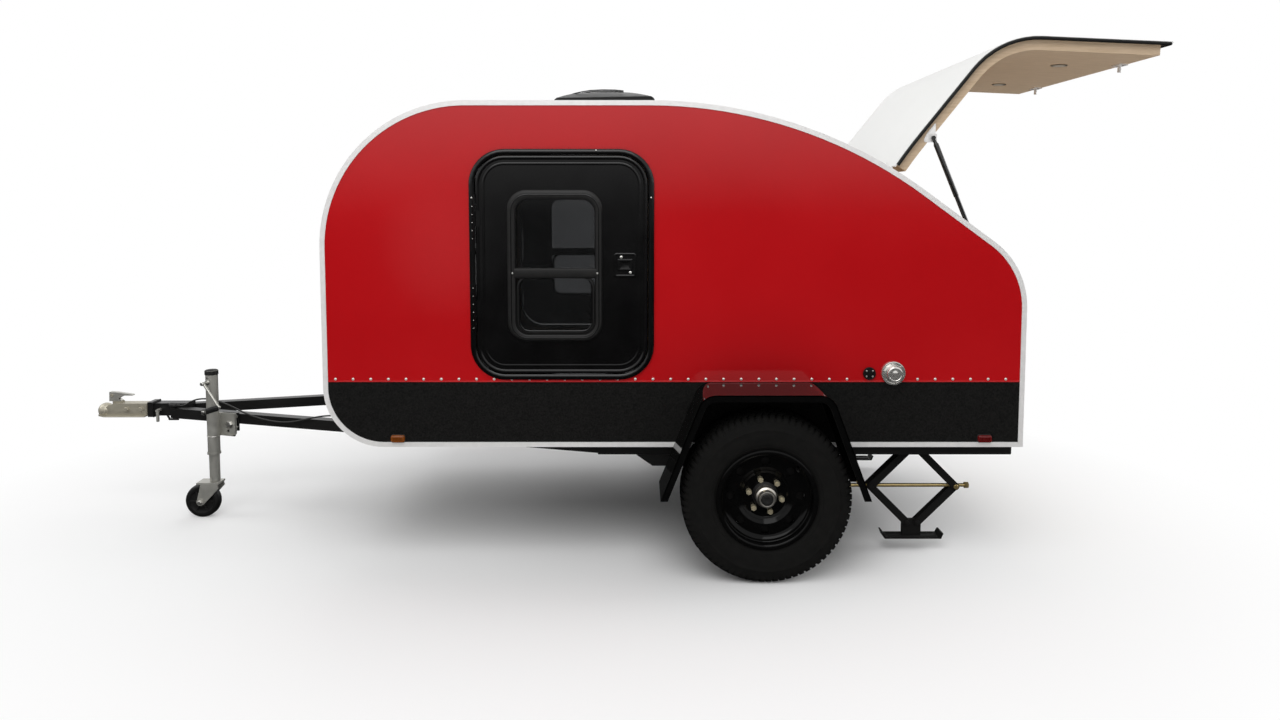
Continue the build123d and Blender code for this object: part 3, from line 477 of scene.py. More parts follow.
def round_loop(x, z, r, grow, steps=9):
    """Points of a rounded rectangle, grown by so much all round, as (x, z)."""
    r = max(r + grow, 0.5)
    x0, x1, z0, z1 = x[0] - grow, x[1] + grow, z[0] - grow, z[1] + grow
    loop = []
    corners = ((x1 - r, z1 - r, 0), (x0 + r, z1 - r, 90), (x0 + r, z0 + r, 180), (x1 - r, z0 + r, 270))
    for cx, cz, turn in corners:
        for k in range(steps):
            a = radians(turn + 90 * k / (steps - 1))
            loop.append((cx + r * cos(a), cz + r * sin(a)))
    return loop


def grown(x, z, r, rows, steps=9):
    """One rounded rectangle for each row of (growth, stand-off), as (loop, stand-off)."""
    return [(round_loop(x, z, r, grow, steps), out) for grow, out in rows]


def ring_piece(name, look, body, side, rows):
    """A moulding round an opening: rows are (loop of x and z, stand-off from the wall's face)."""
    shape = bmesh.new()
    skin(shape, [[spot(x, side * (half + out), z) for x, z in loop] for loop, out in rows])
    return piece(name, shape, look, body, 50)


def screw_head(shape, x, y, z, way, r=5.0):
    """A pan head with a sunk middle, standing on a face."""
    pan = [(r, -0.3), (r, 0.6), (r * 0.86, 1.5), (r * 0.5, 2.0), (r * 0.42, 1.0), (0, 0.9)]
    turned(shape, pan, spot(x, y, z), way, 14)


door_x, door_z, door_r = (486, 1208), (830, 1750), 120
window_x, window_z, window_r = (707, 1041), (997, 1567), 55
hinge_x = 1213
for side, name in both_sides:
    leaf_body = f"door_{name}"
    bead = [(5.2, 0), (5.2, 8.4), (8, 10.6), (13, 12.0), (19, 12.2), (24, 10.6), (27.6, 6.8), (29, 1.5),
            (29, 0)]
    ring_piece(f"door_bead_{name}", door_look, "trailer", side,
               grown(door_x, door_z, door_r, bead))
    border = [(-0.4, 6), (-0.4, 8.6), (-2.5, 10.2), (-7, 10.8), (-12, 10.2), (-15, 8.4), (-16.5, 8.0),
              (-16.5, 6)]
    ring_piece(f"leaf_border_{name}", door_look, leaf_body, side,
               grown(door_x, door_z, door_r, border))
    contour = [(-27, 6), (-27, 8.0), (-29, 8.7), (-33, 9.0), (-37, 8.7), (-39, 8.0), (-39, 6)]
    ring_piece(f"leaf_contour_{name}", door_look, leaf_body, side,
               grown(door_x, door_z, door_r, contour))
    inner = round_loop(window_x, window_z, window_r, -1)
    outer = round_loop((675, 1077), (969, 1608), 81, 0)

    def between(share):
        """The loop so far on the way from the window's edge to the gasket's outer edge."""
        return [(a[0] + (b[0] - a[0]) * share, a[1] + (b[1] - a[1]) * share) for a, b in zip(inner, outer)]

    lip = [(0, -3), (0, 10), (0.06, 13), (0.2, 15.6), (0.42, 16.8), (0.66, 16.4), (0.86, 14.6), (0.97, 11),
           (1.02, 7), (1, 5)]
    ring_piece(f"window_gasket_{name}", gasket, leaf_body, side,
               [(between(share), out) for share, out in lip])
    groove = [(0.46, 16.4), (0.50, 17.3), (0.56, 17.4), (0.60, 16.2)]
    ring_piece(f"gasket_cord_{name}", door_look, leaf_body, side,
               [(between(share), out) for share, out in groove])
    sash_x, sash_z = (716, 1032), (1005, 1244)
    sash = [(0, -4.4), (0, 3), (-1.5, 4.5), (-6, 4.5), (-8, 3), (-8, -4.4)]
    ring_piece(f"lower_sash_{name}", door_look, leaf_body, side,
               grown(sash_x, sash_z, 46, sash, 7))
    sash = [(7.0, -4.4), (7.0, 3.4), (5, 5.2), (-0.6, 5.2), (-1.2, 4.0), (-1.2, -4.4)]
    ring_piece(f"sash_edge_{name}", gasket, leaf_body, side,
               grown(sash_x, sash_z, 46, sash, 7))
    shape = bmesh.new()
    rail = [(1237, -3.9), (1237, 12), (1240, 16), (1247, 18.2), (1258, 17.0), (1268, 18.2), (1276, 16),
            (1279, 12), (1279, -3.9)]
    rows = [[spot(x, side * (half + y), z) for z, y in rail] for x in (700, 1048)]
    skin(shape, rows, closed=False, capped=True)
    piece(f"window_bar_{name}", shape, gasket, leaf_body, 30)

    # The paddle latch is a recessed bezel with a hinged paddle and two bright screws.
    latch_x, latch_r = (534, 626), 10
    bezel = [(0.6, 7), (0.6, 12.0), (-0.8, 13.6), (-3, 14.4), (-9, 14.0), (-11, 12.6), (-11.6, 9.8),
             (-11.6, 7)]
    ring_piece(f"latch_bezel_{name}", door_look, leaf_body, side,
               grown(latch_x, (1241, 1343), latch_r, bezel, 6))
    paddle = [(-13, 9.9), (-13, 12.0), (-14.5, 13.0), (-22, 13.2), (-26, 12.4), (-30, 11.6)]
    shape = bmesh.new()
    rows = []
    for loop, out in grown(latch_x, (1252, 1332), latch_r, paddle, 6):
        rows.append([spot(x, side * (half + out), z) for x, z in loop])
    skin(shape, rows, closed=False, capped=True)
    piece(f"latch_paddle_{name}", shape, door_look, leaf_body)
    shape = bmesh.new()
    for x, z in ((596, 1325), (558, 1260)):
        screw_head(shape, x, side * (half + 13.6), z, (0, side, 0), 6.5)
    for x in (697, 1055):
        screw_head(shape, x, side * (half + 15.6), 1257, (0, side, 0), 4.5)
    piece(f"leaf_screws_{name}", shape, screw_look, leaf_body)

    # Piano hinges: small rivets down the frame's leaf of each, and three bright screws in the frame bead.
    hinge_rivet = [(2.0, -0.3), (2.0, 0.4), (1.4, 0.9), (0, 1.1)]
    shape = bmesh.new()
    for z0, z1 in ((1386, 1589), (1006, 1211)):
        for k in range(6):
            z = z0 + (z1 - z0) * (k + 0.5) / 6
            turned(shape, hinge_rivet, spot(hinge_x + 9, side * (half + 12.1), z), (0, side, 0), 10)
    for x, z in ((1224, 1575), (470, 1575), (701, 1772)):
        screw_head(shape, x, side * (half + 12.0), z, (0, side, 0), 4.0)
    piece(f"frame_rivets_{name}", shape, screw_look, "trailer")

# Rear hatch: white skin on a plywood frame, swung open on its hinge, with a black bulb seal round its edge.
# Two puck lamps and two bright latches are screwed to its lining, and a gas strut holds each side.
back_c, back_r, tail_x, tail_r, slope = (480, -9), 1990, -1125, 353, 36
hatch_open = radians(87.5)
hinge_lean = radians(31)
pivot = (back_c[0] - (back_r + 7) * sin(hinge_lean), back_c[1] + (back_r + 7) * cos(hinge_lean))
lean_in = radians(slope)
run_top = (back_c[0] - (back_r - tail_r) * sin(lean_in), back_c[1] + (back_r - tail_r) * cos(lean_in))
run = (run_top[0] - (tail_x + tail_r)) / cos(lean_in)
tail_c = (run_top[0] - run * cos(lean_in), run_top[1] - run * sin(lean_in))


def hatch_line(inset, low):
    """The open hatch's outline from hinge to lower edge, so far inside its face: x, z and slope."""
    line = []
    for k in range(6):
        a = hinge_lean + 0.012 + (lean_in - hinge_lean - 0.012) * k / 5
        line.append((back_c[0] - (back_r - inset) * sin(a), back_c[1] + (back_r - inset) * cos(a), a))
    for k in range(10):
        a = lean_in + (pi / 2 - lean_in) * k / 9
        line.append((tail_c[0] - (tail_r - inset) * sin(a), tail_c[1] + (tail_r - inset) * cos(a), a))
    line.append((tail_x + inset, low, pi / 2))
    swung = []
    for x, z, a in line:
        dx, dz = x - pivot[0], z - pivot[1]
        swung.append((pivot[0] + dx * cos(hatch_open) + dz * sin(hatch_open),
                      pivot[1] - dx * sin(hatch_open) + dz * cos(hatch_open), a - hatch_open))
    return swung


def rod(shape, points, r, steps=10):
    """A round rod along points in metres, with its radius in mm, mitred at each point."""
    rows = []
    for k, p in enumerate(points):
        before, after = points[max(k - 1, 0)], points[min(k + 1, len(points) - 1)]
        way = (after - before).normalized()
        side_way = way.orthogonal() if k == 0 else side_way - way * side_way.dot(way)
        side_way.normalize()
        up_way = way.cross(side_way)
        ring = [2 * pi * n / steps for n in range(steps)]
        rows.append([p + (side_way * cos(a) + up_way * sin(a)) * (r / 1000) for a in ring])
    skin(shape, rows, closed=False, capped=True)


seal = finish("seal_rubber", {"Roughness": 0.6, "Specular IOR Level": 0.2})
seal_grain = seal.noise(300, 2.0)
seal.set({
    "Base Color": seal.mix(seal_grain, (0.006, 0.006, 0.006), (0.016, 0.016, 0.015)),
    "Normal": seal.relief(seal_grain, 0.0004),
})
shape = bmesh.new()
edge = hatch_line(9.2, 566)
for y in (-724, 724):
    rod(shape, [spot(x, y, z) for x, z, a in edge], 7.5)
rod(shape, [spot(edge[-1][0], y, edge[-1][1]) for y in (-724, -360, 0, 360, 724)], 7.5)
piece("hatch_seal", shape, seal, "hatch")

lamp_ring = finish("lamp_nickel", {"Metallic": 1.0})
nickel = lamp_ring.noise(500, 2.0)
lamp_ring.set({
    "Base Color": lamp_ring.mix(nickel, (0.50, 0.47, 0.42), (0.66, 0.63, 0.58)),
    "Roughness": 0.3 + 0.15 * nickel,
})
frost = finish("frosted_lens", {"Roughness": 0.45, "Specular IOR Level": 0.4})
frost_grain = frost.noise(1200)
frost.set({
    "Base Color": frost.mix(frost_grain, (0.46, 0.42, 0.36), (0.60, 0.56, 0.48)),
    "Normal": frost.relief(frost_grain, 0.0003),
})
lamp_x = -1418
(xa, za, _), (xb, zb, slant) = hatch_line(56, 600)[-2:]
share = (lamp_x - xa) / (xb - xa)
x, z = xa + (xb - xa) * share, za + (zb - za) * share
inward = Vector((sin(slant), 0, -cos(slant)))
ring_turn = [(0, -1), (36, -1), (36, 2), (34, 3.6), (29, 4), (28, 3), (0, 3)]
lens_turn = [(0, 2), (28, 2), (28, 3.4), (20, 4.4), (0, 5)]
rings, lenses = bmesh.new(), bmesh.new()
for y in (-345, 345):
    turned(rings, ring_turn, spot(x, y, z), inward, 36)
    turned(lenses, lens_turn, spot(x, y, z), inward, 36)
piece("puck_lamp_rings", rings, lamp_ring, "hatch")
piece("puck_lamp_lenses", lenses, frost, "hatch")

dress(trim, "hatch_latches", "hatch_studs")
shape = bmesh.new()
x, z, slant = hatch_line(62, 619)[-1]
for y in (-430, 430):
    for dy in (-28, 28):
        screw_head(shape, x, y + dy, z, Vector((sin(slant), 0, -cos(slant))), 4.5)
piece("latch_screws", shape, screw_look, "hatch")

strut_black = finish("strut_black_paint", {"Coat Weight": 0.5, "Specular IOR Level": 0.4})
strut_film = strut_black.noise(120, 2.0)
strut_black.set({
    "Base Color": strut_black.mix(strut_film, (0.004, 0.004, 0.004), (0.011, 0.011, 0.011)),
    "Roughness": 0.2 + 0.12 * strut_film,
})
dress(strut_black, "strut_tubes", "strut_rods")
shape, eyes = bmesh.new(), bmesh.new()
strut_way = Vector((0.388, 0, 0.9217)).normalized()
foot, eye = Vector((-926.8, 0, 1348.7)), Vector((-725, 0, 1828))
foot_collar = [(0, 14), (7.5, 14), (9.6, 17), (9.6, 40), (9.3, 44), (9.2, 14)]
head_collar = [(4.2, 256), (9.2, 256), (9.5, 258), (9.5, 262.5), (7, 265), (4.2, 265), (4.2, 256)]
guard = [(9.9, -267), (10.7, -267), (10.7, -30), (8, -24), (6.5, -10), (4.1, -9), (4.1, -26), (9.9, -32),
         (9.9, -267)]
for y in (-718, 718):
    turned(shape, foot_collar, spot(foot.x, y, foot.z), strut_way, 20)
    turned(shape, head_collar, spot(foot.x, y, foot.z), strut_way, 20)
    turned(eyes, guard, spot(eye.x, y, eye.z), strut_way, 24)
piece("strut_collars", shape, seal, "strut_tubes")
gusset = [(-13, 60), (-9, 62), (22, 22), (36, -4), (36, -13), (31, -18), (-8, -18), (-13, -13)]
shape = bmesh.new()
for way in (1, -1):
    rows = []
    for y, pull in ((704.0, 0), (706.2, 0), (706.9, 1.2)):
        outline = [(eye.x + x - pull * (x > 0), eye.z + z - pull * (z > 0)) for x, z in gusset]
        rows.append([spot(x, way * y, z) for x, z in outline])
    skin(shape, rows, closed=False, capped=True)
piece("strut_gussets", shape, trim, "hatch")
piece("strut_guards", eyes, strut_black, "strut_rods")

# Wheels: a highway tyre with a block tread on a black gloss steel rim, held by six nuts.
# The tread is moulded in five rows over a carcass, and the hub ends in a bright ring with a rubber cap.
tyre_look = finish("tyre_rubber", {"Specular IOR Level": 0.06})
bloom = tyre_look.noise(30, 4.0)
rub = tyre_look.noise(600, 2.0)
tyre_look.set({
    "Base Color": tyre_look.mix(bloom, (0.0050, 0.0050, 0.0048), (0.0105, 0.0102, 0.0096)),
    "Roughness": 0.66 + 0.2 * bloom,
    "Normal": tyre_look.relief(rub, 0.0004),
})
wheel_y, axle_z = 894, 350
wall_line = [
    (196, 80), (211, 81.5), (217, 87), (224, 91.5), (228, 92.5), (230, 95.2), (234, 96.0), (248, 101),
    (262, 103.4), (274, 104), (286, 103.8), (289, 105.0), (293, 105.0), (296, 102.8), (308, 99.6),
    (318, 96.4), (328, 91), (335, 85), (339, 77), (341.5, 64), (342.5, 40), (343, 12),
]
carcass = wall_line + [(r, -y) for r, y in wall_line[::-1]] + [(197, -60), (197, 60), (196, 80)]
tread_rows = [
    [(55, 349.6), (69, 348.6), (80, 344.6), (90, 335.4), (95.5, 323)],
    [(24, 350), (50, 349.8)],
    [(-15, 350), (15, 350)],
    [(-24, 350), (-50, 349.8)],
    [(-55, 349.6), (-69, 348.6), (-80, 344.6), (-90, 335.4), (-95.5, 323)],
]
pitches, groove_depth = 76, 9
gloss = finish("black_gloss_paint", {
    "Coat Weight": 0.03,
    "Coat Roughness": 0.03,
    "Specular IOR Level": 0.12,
})
film = gloss.noise(60, 3.0)
gloss.set({
    "Base Color": gloss.mix(film, (0.0015, 0.0015, 0.0015), (0.004, 0.004, 0.004)),
    "Roughness": 0.04 + 0.06 * film,
    "Normal": gloss.relief(gloss.noise(350, 2.0), 0.00002),
})
dress(gloss, "rim_left", "rim_right")
hub_look = finish("hub_paint_and_nuts", {})
hub_x, hub_y, hub_z = (hub_look.along(axis) for axis in ("X", "Y", "Z"))
from_axle = ((hub_x - axle_x) * (hub_x - axle_x) + (hub_z - axle_z / 1000) * (hub_z - axle_z / 1000)) ** 0.5
on_nut = (from_axle > 0.0545) * (abs(hub_y) > 0.9065)
nut_wear = hub_look.noise(300, 3.0)
nut_tone = hub_look.mix(nut_wear, (0.44, 0.385, 0.25), (0.66, 0.60, 0.43))
hub_tone = hub_look.mix(on_nut, (0.005, 0.005, 0.005), nut_tone)
hub_look.set({"Base Color": hub_tone, "Metallic": 0.55 * on_nut, "Roughness": 0.22 + 0.2 * nut_wear})
dress(hub_look, "hub_left", "hub_right")
drum_iron = finish("cast_drum", {"Specular IOR Level": 0.2})
sand = drum_iron.noise(160, 3.0)
drum_iron.set({
    "Base Color": drum_iron.mix(sand, (0.0030, 0.0029, 0.0028), (0.0085, 0.0080, 0.0075)),
    "Roughness": 0.55 + 0.2 * sand,
    "Normal": drum_iron.relief(sand, 0.0004),
})
rim_lip = [(188, 84), (188.5, 88.5), (191, 91), (196, 92), (202, 91.6), (206.5, 89.6), (208.6, 86),
           (208.6, 82), (188, 82), (188, 84)]
rim_step = [(163, 31), (165, 35), (170, 37), (176, 40), (182, 46), (184.5, 52), (187, 54), (187.6, 40),
            (170, 28), (163, 31)]
rim_boss = [(88, 13), (90, 15.5), (95, 18.5), (101, 20.2), (105, 23), (104, 17), (96, 11), (88, 13)]
shade_drum = [(80, 5), (118, 5), (124, 8), (158, 8), (164, 5), (166, -1), (166, -24), (169, -26), (169, -32),
        (166, -34), (166, -56), (158, -58), (158, -2), (80, -5), (80, 5)]
bearing_ring = [(30, 20), (42.6, 20), (42.6, 58.4), (35.6, 63), (35.0, 84.5), (33, 87.4), (29.5, 88.2),
                (25, 87.2), (24.2, 82), (24, 60), (30, 20)]
rubber_cap = [(0, 88.05), (7, 88.05), (9, 89), (15, 89.4), (20.5, 89), (23.2, 87.5), (23.8, 84), (23.8, 70),
              (0, 70)]
valve = [(0, 40), (5.5, 40), (5.5, 62), (4.2, 66), (4.2, 78), (3.4, 79), (0, 79)]
valve_at = Vector((0.172 * cos(2.4), 0, 0.172 * sin(2.4)))
for side, name in both_sides:
    body = f"wheel_{name}"
    centre = spot(0, side * wheel_y, axle_z)
    shape = bmesh.new()
    turned(shape, carcass, centre, (0, side, 0), 120)

    def on_tread(angle, y, r):
        return centre + Vector((r * sin(angle), side * y, r * cos(angle))) / 1000

    for row, line in enumerate(tread_rows):
        for k in range(pitches):
            start = 2 * pi * (k + 0.5 * (row % 2)) / pitches
            width = 2 * pi / pitches * (0.70 if row in (0, 4) else 0.80)
            skew = (0.020, 0.030, -0.030, 0.030, 0.020)[row]
            low, top = [], []
            for n, (y, r) in enumerate(line):
                lean = skew * (n / (len(line) - 1) - 0.5) * (1 if row < 3 else -1)
                for a, pull in ((start + lean, 0.0022), (start + lean + width, -0.0022)):
                    low.append(shape.verts.new(on_tread(a, y, r - groove_depth)))
                    top.append(shape.verts.new(on_tread(a + pull, y, r)))
            last = len(line) - 1
            for n in range(last):
                i, j = 2 * n, 2 * n + 2
                shape.faces.new((top[i], top[i + 1], top[j + 1], top[j]))
                shape.faces.new((low[i], low[j], top[j], top[i]))
                shape.faces.new((low[i + 1], top[i + 1], top[j + 1], low[j + 1]))
                shape.faces.new((low[i], low[i + 1], low[j + 1], low[j]))
            shape.faces.new((low[0], top[0], top[1], low[1]))
            shape.faces.new((low[2 * last], low[2 * last + 1], top[2 * last + 1], top[2 * last]))
    tyre = piece(f"road_tyre_{name}", shape, tyre_look, body)
    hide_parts(f"tyre_{name}")

    shape = bmesh.new()
    turned(shape, rim_lip, centre, (0, side, 0), 96)
    turned(shape, rim_step, centre, (0, side, 0), 96)
    turned(shape, rim_boss, centre, (0, side, 0), 72)
    piece(f"rim_rings_{name}", shape, gloss, body)
    # A near-black drum behind the rim keeps its holes dark; it stands in for the shade inside the wheel.
    shape = bmesh.new()
    turned(shape, shade_drum, centre, (0, side, 0), 72)
    piece(f"shade_brake_drum_{name}", shape, drum_iron, body)
    shape = bmesh.new()
    turned(shape, bearing_ring, centre, (0, side, 0), 48)
    piece(f"hub_ring_{name}", shape, lamp_ring, body)
    shape = bmesh.new()
    turned(shape, rubber_cap, centre, (0, side, 0), 40)
    turned(shape, valve, centre + valve_at, (0, side, 0), 14)
    piece(f"hub_cap_{name}", shape, seal, body)

# Fenders: folded black sheet with a flat top and sloping legs, its edges turned in and hemmed round a wire.
# Carriage bolts hold the inner flange to the wall.
fender_foot, fender_top, fender_bend = 358, 790, 75
carriage_head = [(7, -0.5), (7, 0.6), (5.6, 2.4), (3, 3.4), (0, 3.7)]


def fender_path(inset):
    """The fender's outline over the top from foot to foot, so far inside its face, as (x, z)."""
    path = []
    for way, foot, knee in ((1, 435, 273.5), (-1, 415, 261.5)):
        lean = atan2(foot - knee, 406)
        bend, top = fender_bend - inset, fender_top - inset
        leg_x = foot - inset / cos(lean)
        bend_x = leg_x - (top - fender_foot) * tan(lean) - bend * tan((pi / 2 - lean) / 2)
        turns = [lean + (pi / 2 - lean) * k / 9 for k in range(10)]
        leg = [(leg_x, fender_foot)] + [(bend_x + bend * cos(a), top - bend + bend * sin(a)) for a in turns]
        path += leg if way > 0 else [(-x, z) for x, z in leg[::-1]]
    return path


shells = bmesh.new()
for side in (1, -1):
    for (y0, y1), depth in (((3, 262), 4), ((3, 7), 26), ((258, 262), 26)):
        loop = fender_path(0) + fender_path(depth)[::-1]
        rows = [[spot(x, side * (half + y), z) for x, z in loop] for y in (y0, y1)]
        skin(shells, rows, closed=False, capped=True)
shells = piece("fender_shells", shells, gloss, "trailer", 30)
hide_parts("fenders")
for side, name in both_sides:
    shape = bmesh.new()
    for y in (half + 259, half + 6):
        rod(shape, [spot(x, side * y, z) for x, z in fender_path(25)], 2.6)
    outline = bmesh.new()
    rod(outline, [spot(x, side * (half + 260), z) for x, z in fender_path(1.5)], 1.8)
    piece(f"fender_edge_{name}", outline, gloss, "trailer")
    piece(f"fender_hem_{name}", shape, drum_iron, "trailer")
    shape = bmesh.new()
    for x in (-190, -65, 65, 190):
        turned(shape, carriage_head, spot(x, side * (half + 7), 775), (0, side, 0), 16)
    piece(f"fender_bolts_{name}", shape, gloss, "trailer")

# Chassis: square steel tubes welded into a frame with an A-shaped tongue, painted satin black.
# Weld beads run round the receiver's collar, and ribbed plastic plugs close the rails' rear ends.
steel = finish("satin_black_paint", {"Specular IOR Level": 0.3})
peel = steel.noise(240, 2.0)
dust_film = steel.noise(7, 4.0)
steel.set({
    "Base Color": steel.mix(dust_film, (0.0050, 0.0050, 0.0050), (0.0125, 0.0122, 0.0118)),
    "Roughness": 0.22 + 0.2 * dust_film,
    "Normal": steel.relief(peel, 0.0001),
})
dress(steel, "chassis_frame", "torsion_axle", "jack_bracket")


def square_loop(reach, r, steps=5):
    """Points of a rounded square in its own plane, as (across, up)."""
    return round_loop((-reach, reach), (-reach, reach), r, 0, steps)


shape = bmesh.new()
for x, reach in ((3002, 34), (3002, 38.5), (2821, 32.5)):
    weld = [spot(x, a, 497 + b) for a, b in square_loop(reach, 6)]
    rod(shape, weld + weld[:1], 2.4, 8)
for side in (1, -1):
    for x in (-360, 300):
        weld = [spot(x + a, side * 664.6, 487 + b) for a, b in square_loop(25.5, 3)]
        rod(shape, weld + weld[:1], 2.6, 8)
piece("weld_beads", shape, steel, "trailer")
shape = bmesh.new()
for side in (1, -1):
    rows = []
    for x, reach in ((-1094, 24.6), (-1097.5, 24.6), (-1098.5, 22), (-1098.5, 12), (-1097.5, 10)):
        rows.append([spot(x, side * 690 + a, 487 + b) for a, b in square_loop(reach, reach * 0.2)])
    skin(shape, rows, closed=False, capped=True)
piece("rail_plugs", shape, seal, "trailer")
zinc = finish("zinc_plate", {"Metallic": 0.65})
spangle = zinc.noise(26, 4.0)
zinc_fine = zinc.noise(420, 2.0)
zinc.set({
    "Base Color": zinc.mix(spangle * 0.8 + zinc_fine * 0.2, (0.34, 0.335, 0.305), (0.58, 0.57, 0.525)),
    "Roughness": 0.26 + 0.26 * spangle,
    "Normal": zinc.relief(zinc_fine, 0.0001),
})
axle_nut = [(0, 0), (11, 0), (11, 1.5), (9.5, 2), (9.5, 9), (7.5, 11), (0, 11)]
shape = bmesh.new()
for side in (1, -1):
    for x in (65, 195):
        for y in (664, 716):
            turned(shape, axle_nut, spot(x, side * y, 337), (0, 0, -1), 6)
        hoop = [spot(x, side * y, z) for y, z in ((664, 430), (664, 337), (664, 333))]
        rod(shape, hoop, 5.5, 10)
        rod(shape, [p + Vector((0, side * 0.052, 0)) for p in hoop], 5.5, 10)
piece("axle_bolts", shape, zinc, "trailer")

# Coupler and hitch pin: a zinc-plated pressing with a folded flange round its foot, bolted to the stinger.
# A latch lever on a rivet closes it, and a hairpin clip keeps the bent hitch pin in the receiver.
warm_zinc = finish("warm_zinc_plate", {"Metallic": 0.5})
warm = warm_zinc.noise(30, 4.0)
warm_zinc.set({
    "Base Color": warm_zinc.mix(warm, (0.33, 0.305, 0.24), (0.54, 0.505, 0.41)),
    "Roughness": 0.28 + 0.24 * warm,
    "Normal": warm_zinc.relief(warm_zinc.noise(420, 2.0), 0.0001),
})
dress(warm_zinc, "coupler")
dress(zinc, "coupler_fittings")
bolt_head = [(0, 0), (15, 0), (15, 2), (12.5, 2.4), (12.5, 8), (10.8, 9.6), (0, 9.6)]
washer = [(0, -0.5), (17, -0.5), (17, 2.2), (0, 2.2)]
nose_turns = (0.1, 0.4, 0.7, 1.0, 1.3, pi / 2)
lever_rivet = [(0, -17), (6.5, -17), (7.5, -15), (7.5, -12.2), (5, -12), (5, 12), (7.5, 12.2), (7.5, 15),
               (6.5, 17), (0, 17)]
shape = bmesh.new()
for side in (1, -1):
    for x, z in ((3142, 497), (3068, 497)):
        turned(shape, bolt_head, spot(x, side * 30, z), (0, side, 0), 6)
        turned(shape, washer, spot(x, side * 30, z), (0, side, 0), 24)
    lip_line = [spot(3042, side * 46, 463), spot(3252, side * 46, 463)]
    lip_line += [spot(3261 + 34.5 * sin(a), side * 34.5 * cos(a), 463) for a in nose_turns]
    rod(shape, lip_line, 3.4, 10)
turned(shape, lever_rivet, spot(3224, 0, 566), (0, 1, 0), 18)
piece("coupler_bolts", shape, warm_zinc, "trailer")
shape = bmesh.new()
clip_x, clip_y = 2960, -60
clip = [(0, 14), (2, 8), (10, 7), (20, 4), (30, 6), (38, 10), (42, 0), (38, -9), (30, -10), (16, -9.5),
        (-14, -9.5)]
rod(shape, [spot(clip_x + x, clip_y, 497 + z) for x, z in clip], 1.6, 8)
rod(shape, [spot(2968, 58, 450), spot(2968, 58, 445), spot(2968, 58, 441)], 7.2, 14)
piece("hitch_clip", shape, screw_look, "trailer")

# Tongue jack: a zinc tube in a cup bracket bolted to the left rail, with a black cap and a crank.
# The crank's black sleeve turns on a bolt, and a plastic caster runs in a pressed fork.
dress(zinc, "jack_tube", "jack_crank", "jack_leg", "caster_fork")
rail_lean = atan2(639, 2250)
ahead, outward = Vector((cos(rail_lean), -sin(rail_lean), 0)), Vector((sin(rail_lean), cos(rail_lean), 0))
jack_root = Vector((2533, 45 + 357 * 639 / 2250, 0)) + outward * 25


def by_jack(u, v, z):
    """A place beside the left rail: so far ahead, so far out from it and so high."""
    at = jack_root + ahead * u + outward * v
    return spot(at.x, at.y, z)


tube = (70, 47)
tube_cap = [(29, -20), (31.4, -20), (31.4, -4), (30, 0.4), (26, 2.6), (14, 3.6), (0, 3.8)]
shape = bmesh.new()
turned(shape, tube_cap, by_jack(*tube, 732), (0, 0, 1), 40)
grip_at = by_jack(-16, 117, 564)
sleeve = [(6, 0), (12, 0), (14.2, 2), (14.2, 8)]
for k in range(8):
    sleeve += [(14.2, 10 + 9 * k), (13.2, 11.5 + 9 * k), (13.2, 15 + 9 * k), (14.2, 16.5 + 9 * k)]
sleeve += [(14.2, 86), (12, 88.4), (6, 88.4)]
turned(shape, sleeve, grip_at, outward, 24)
piece("jack_cap_and_grip", shape, seal, "jack_swing")
shape = bmesh.new()
turned(shape, [(0, 0), (9, 0), (9, 3), (7, 6.5), (0, 7.5)], by_jack(-16, 205, 564), outward, 18)
turned(shape, [(0, 0), (9, 0), (9, 2), (8, 5), (0, 7)], by_jack(-16, 108.5, 564), outward, 18)
crank_boss = [(0, 0), (13, 0), (13, 3), (10, 3.4), (10, 11), (0, 11)]
turned(shape, crank_boss, by_jack(*tube, 676) + outward * 0.0282, outward, 24)
turned(shape, [(0, 0), (10, 0), (10, 7), (8, 8.5), (0, 8.5)], by_jack(70, 109, 676), outward, 6)
for z in (700, 646):
    turned(shape, [(0, 0), (6, 0), (5, 3), (0, 4)], by_jack(*tube, z) + outward * 0.0282, outward, 16)
pivot_bolt = [(0, 0), (22, 0), (22, 2), (17, 2.4), (17, 8), (14, 10), (0, 10)]
turned(shape, pivot_bolt, by_jack(0, 18, 460), outward, 6)
ring = [by_jack(70 + 29.2 * cos(a), 47 + 29.2 * sin(a), 406) for a in (2 * pi * k / 36 for k in range(37))]
rod(shape, ring, 1.8, 8)
piece("jack_bolts", shape, screw_look, "jack_swing")
shape = bmesh.new()
for u, z in ((-34, 500), (-34, 446), (34, 500), (34, 446)):
    turned(shape, [(0, 0), (9, 0), (8.6, 0.8), (5, 1.2), (0, 1.3)], by_jack(u, 9, z), outward, 18)
piece("bracket_bolts", shape, screw_look, "trailer")

cast = finish("caster_plastic", {"Specular IOR Level": 0.3})
cast_grain = cast.noise(300, 2.0)
cast.set({
    "Base Color": cast.mix(cast_grain, (0.0035, 0.0035, 0.0035), (0.008, 0.008, 0.008)),
    "Roughness": 0.36 + 0.2 * cast_grain,
    "Normal": cast.relief(cast_grain, 0.0001),
})
caster_at = by_jack(*tube, 82.5) + Vector((0.06, 0, 0))
roller = [(7.2, 29), (23, 29), (24, 27), (24, 21), (28, 18.5), (52, 18.5), (57, 20), (60, 24.4), (70, 25),
          (76, 23.6), (80.4, 19), (82.4, 12), (82.5, 0)]
caster_nut = [(0, 0), (13, 0), (13, 1.6), (11, 2), (11, 9), (8, 11), (0, 11)]
shape = bmesh.new()
turned(shape, roller + [(r, -y) for r, y in roller[-2::-1]] + [(7.2, 29)], caster_at, (0, 1, 0), 64)
for k in range(6):
    a = 2 * pi * k / 6
    for y in (-20.4, 20.4):
        spoke = [caster_at + Vector((r * cos(a), y, r * sin(a))) / 1000 for r in (22, 40, 58)]
        rod(shape, spoke, 3.4, 8)
caster = piece("caster_roller", shape, cast, "caster_wheel")
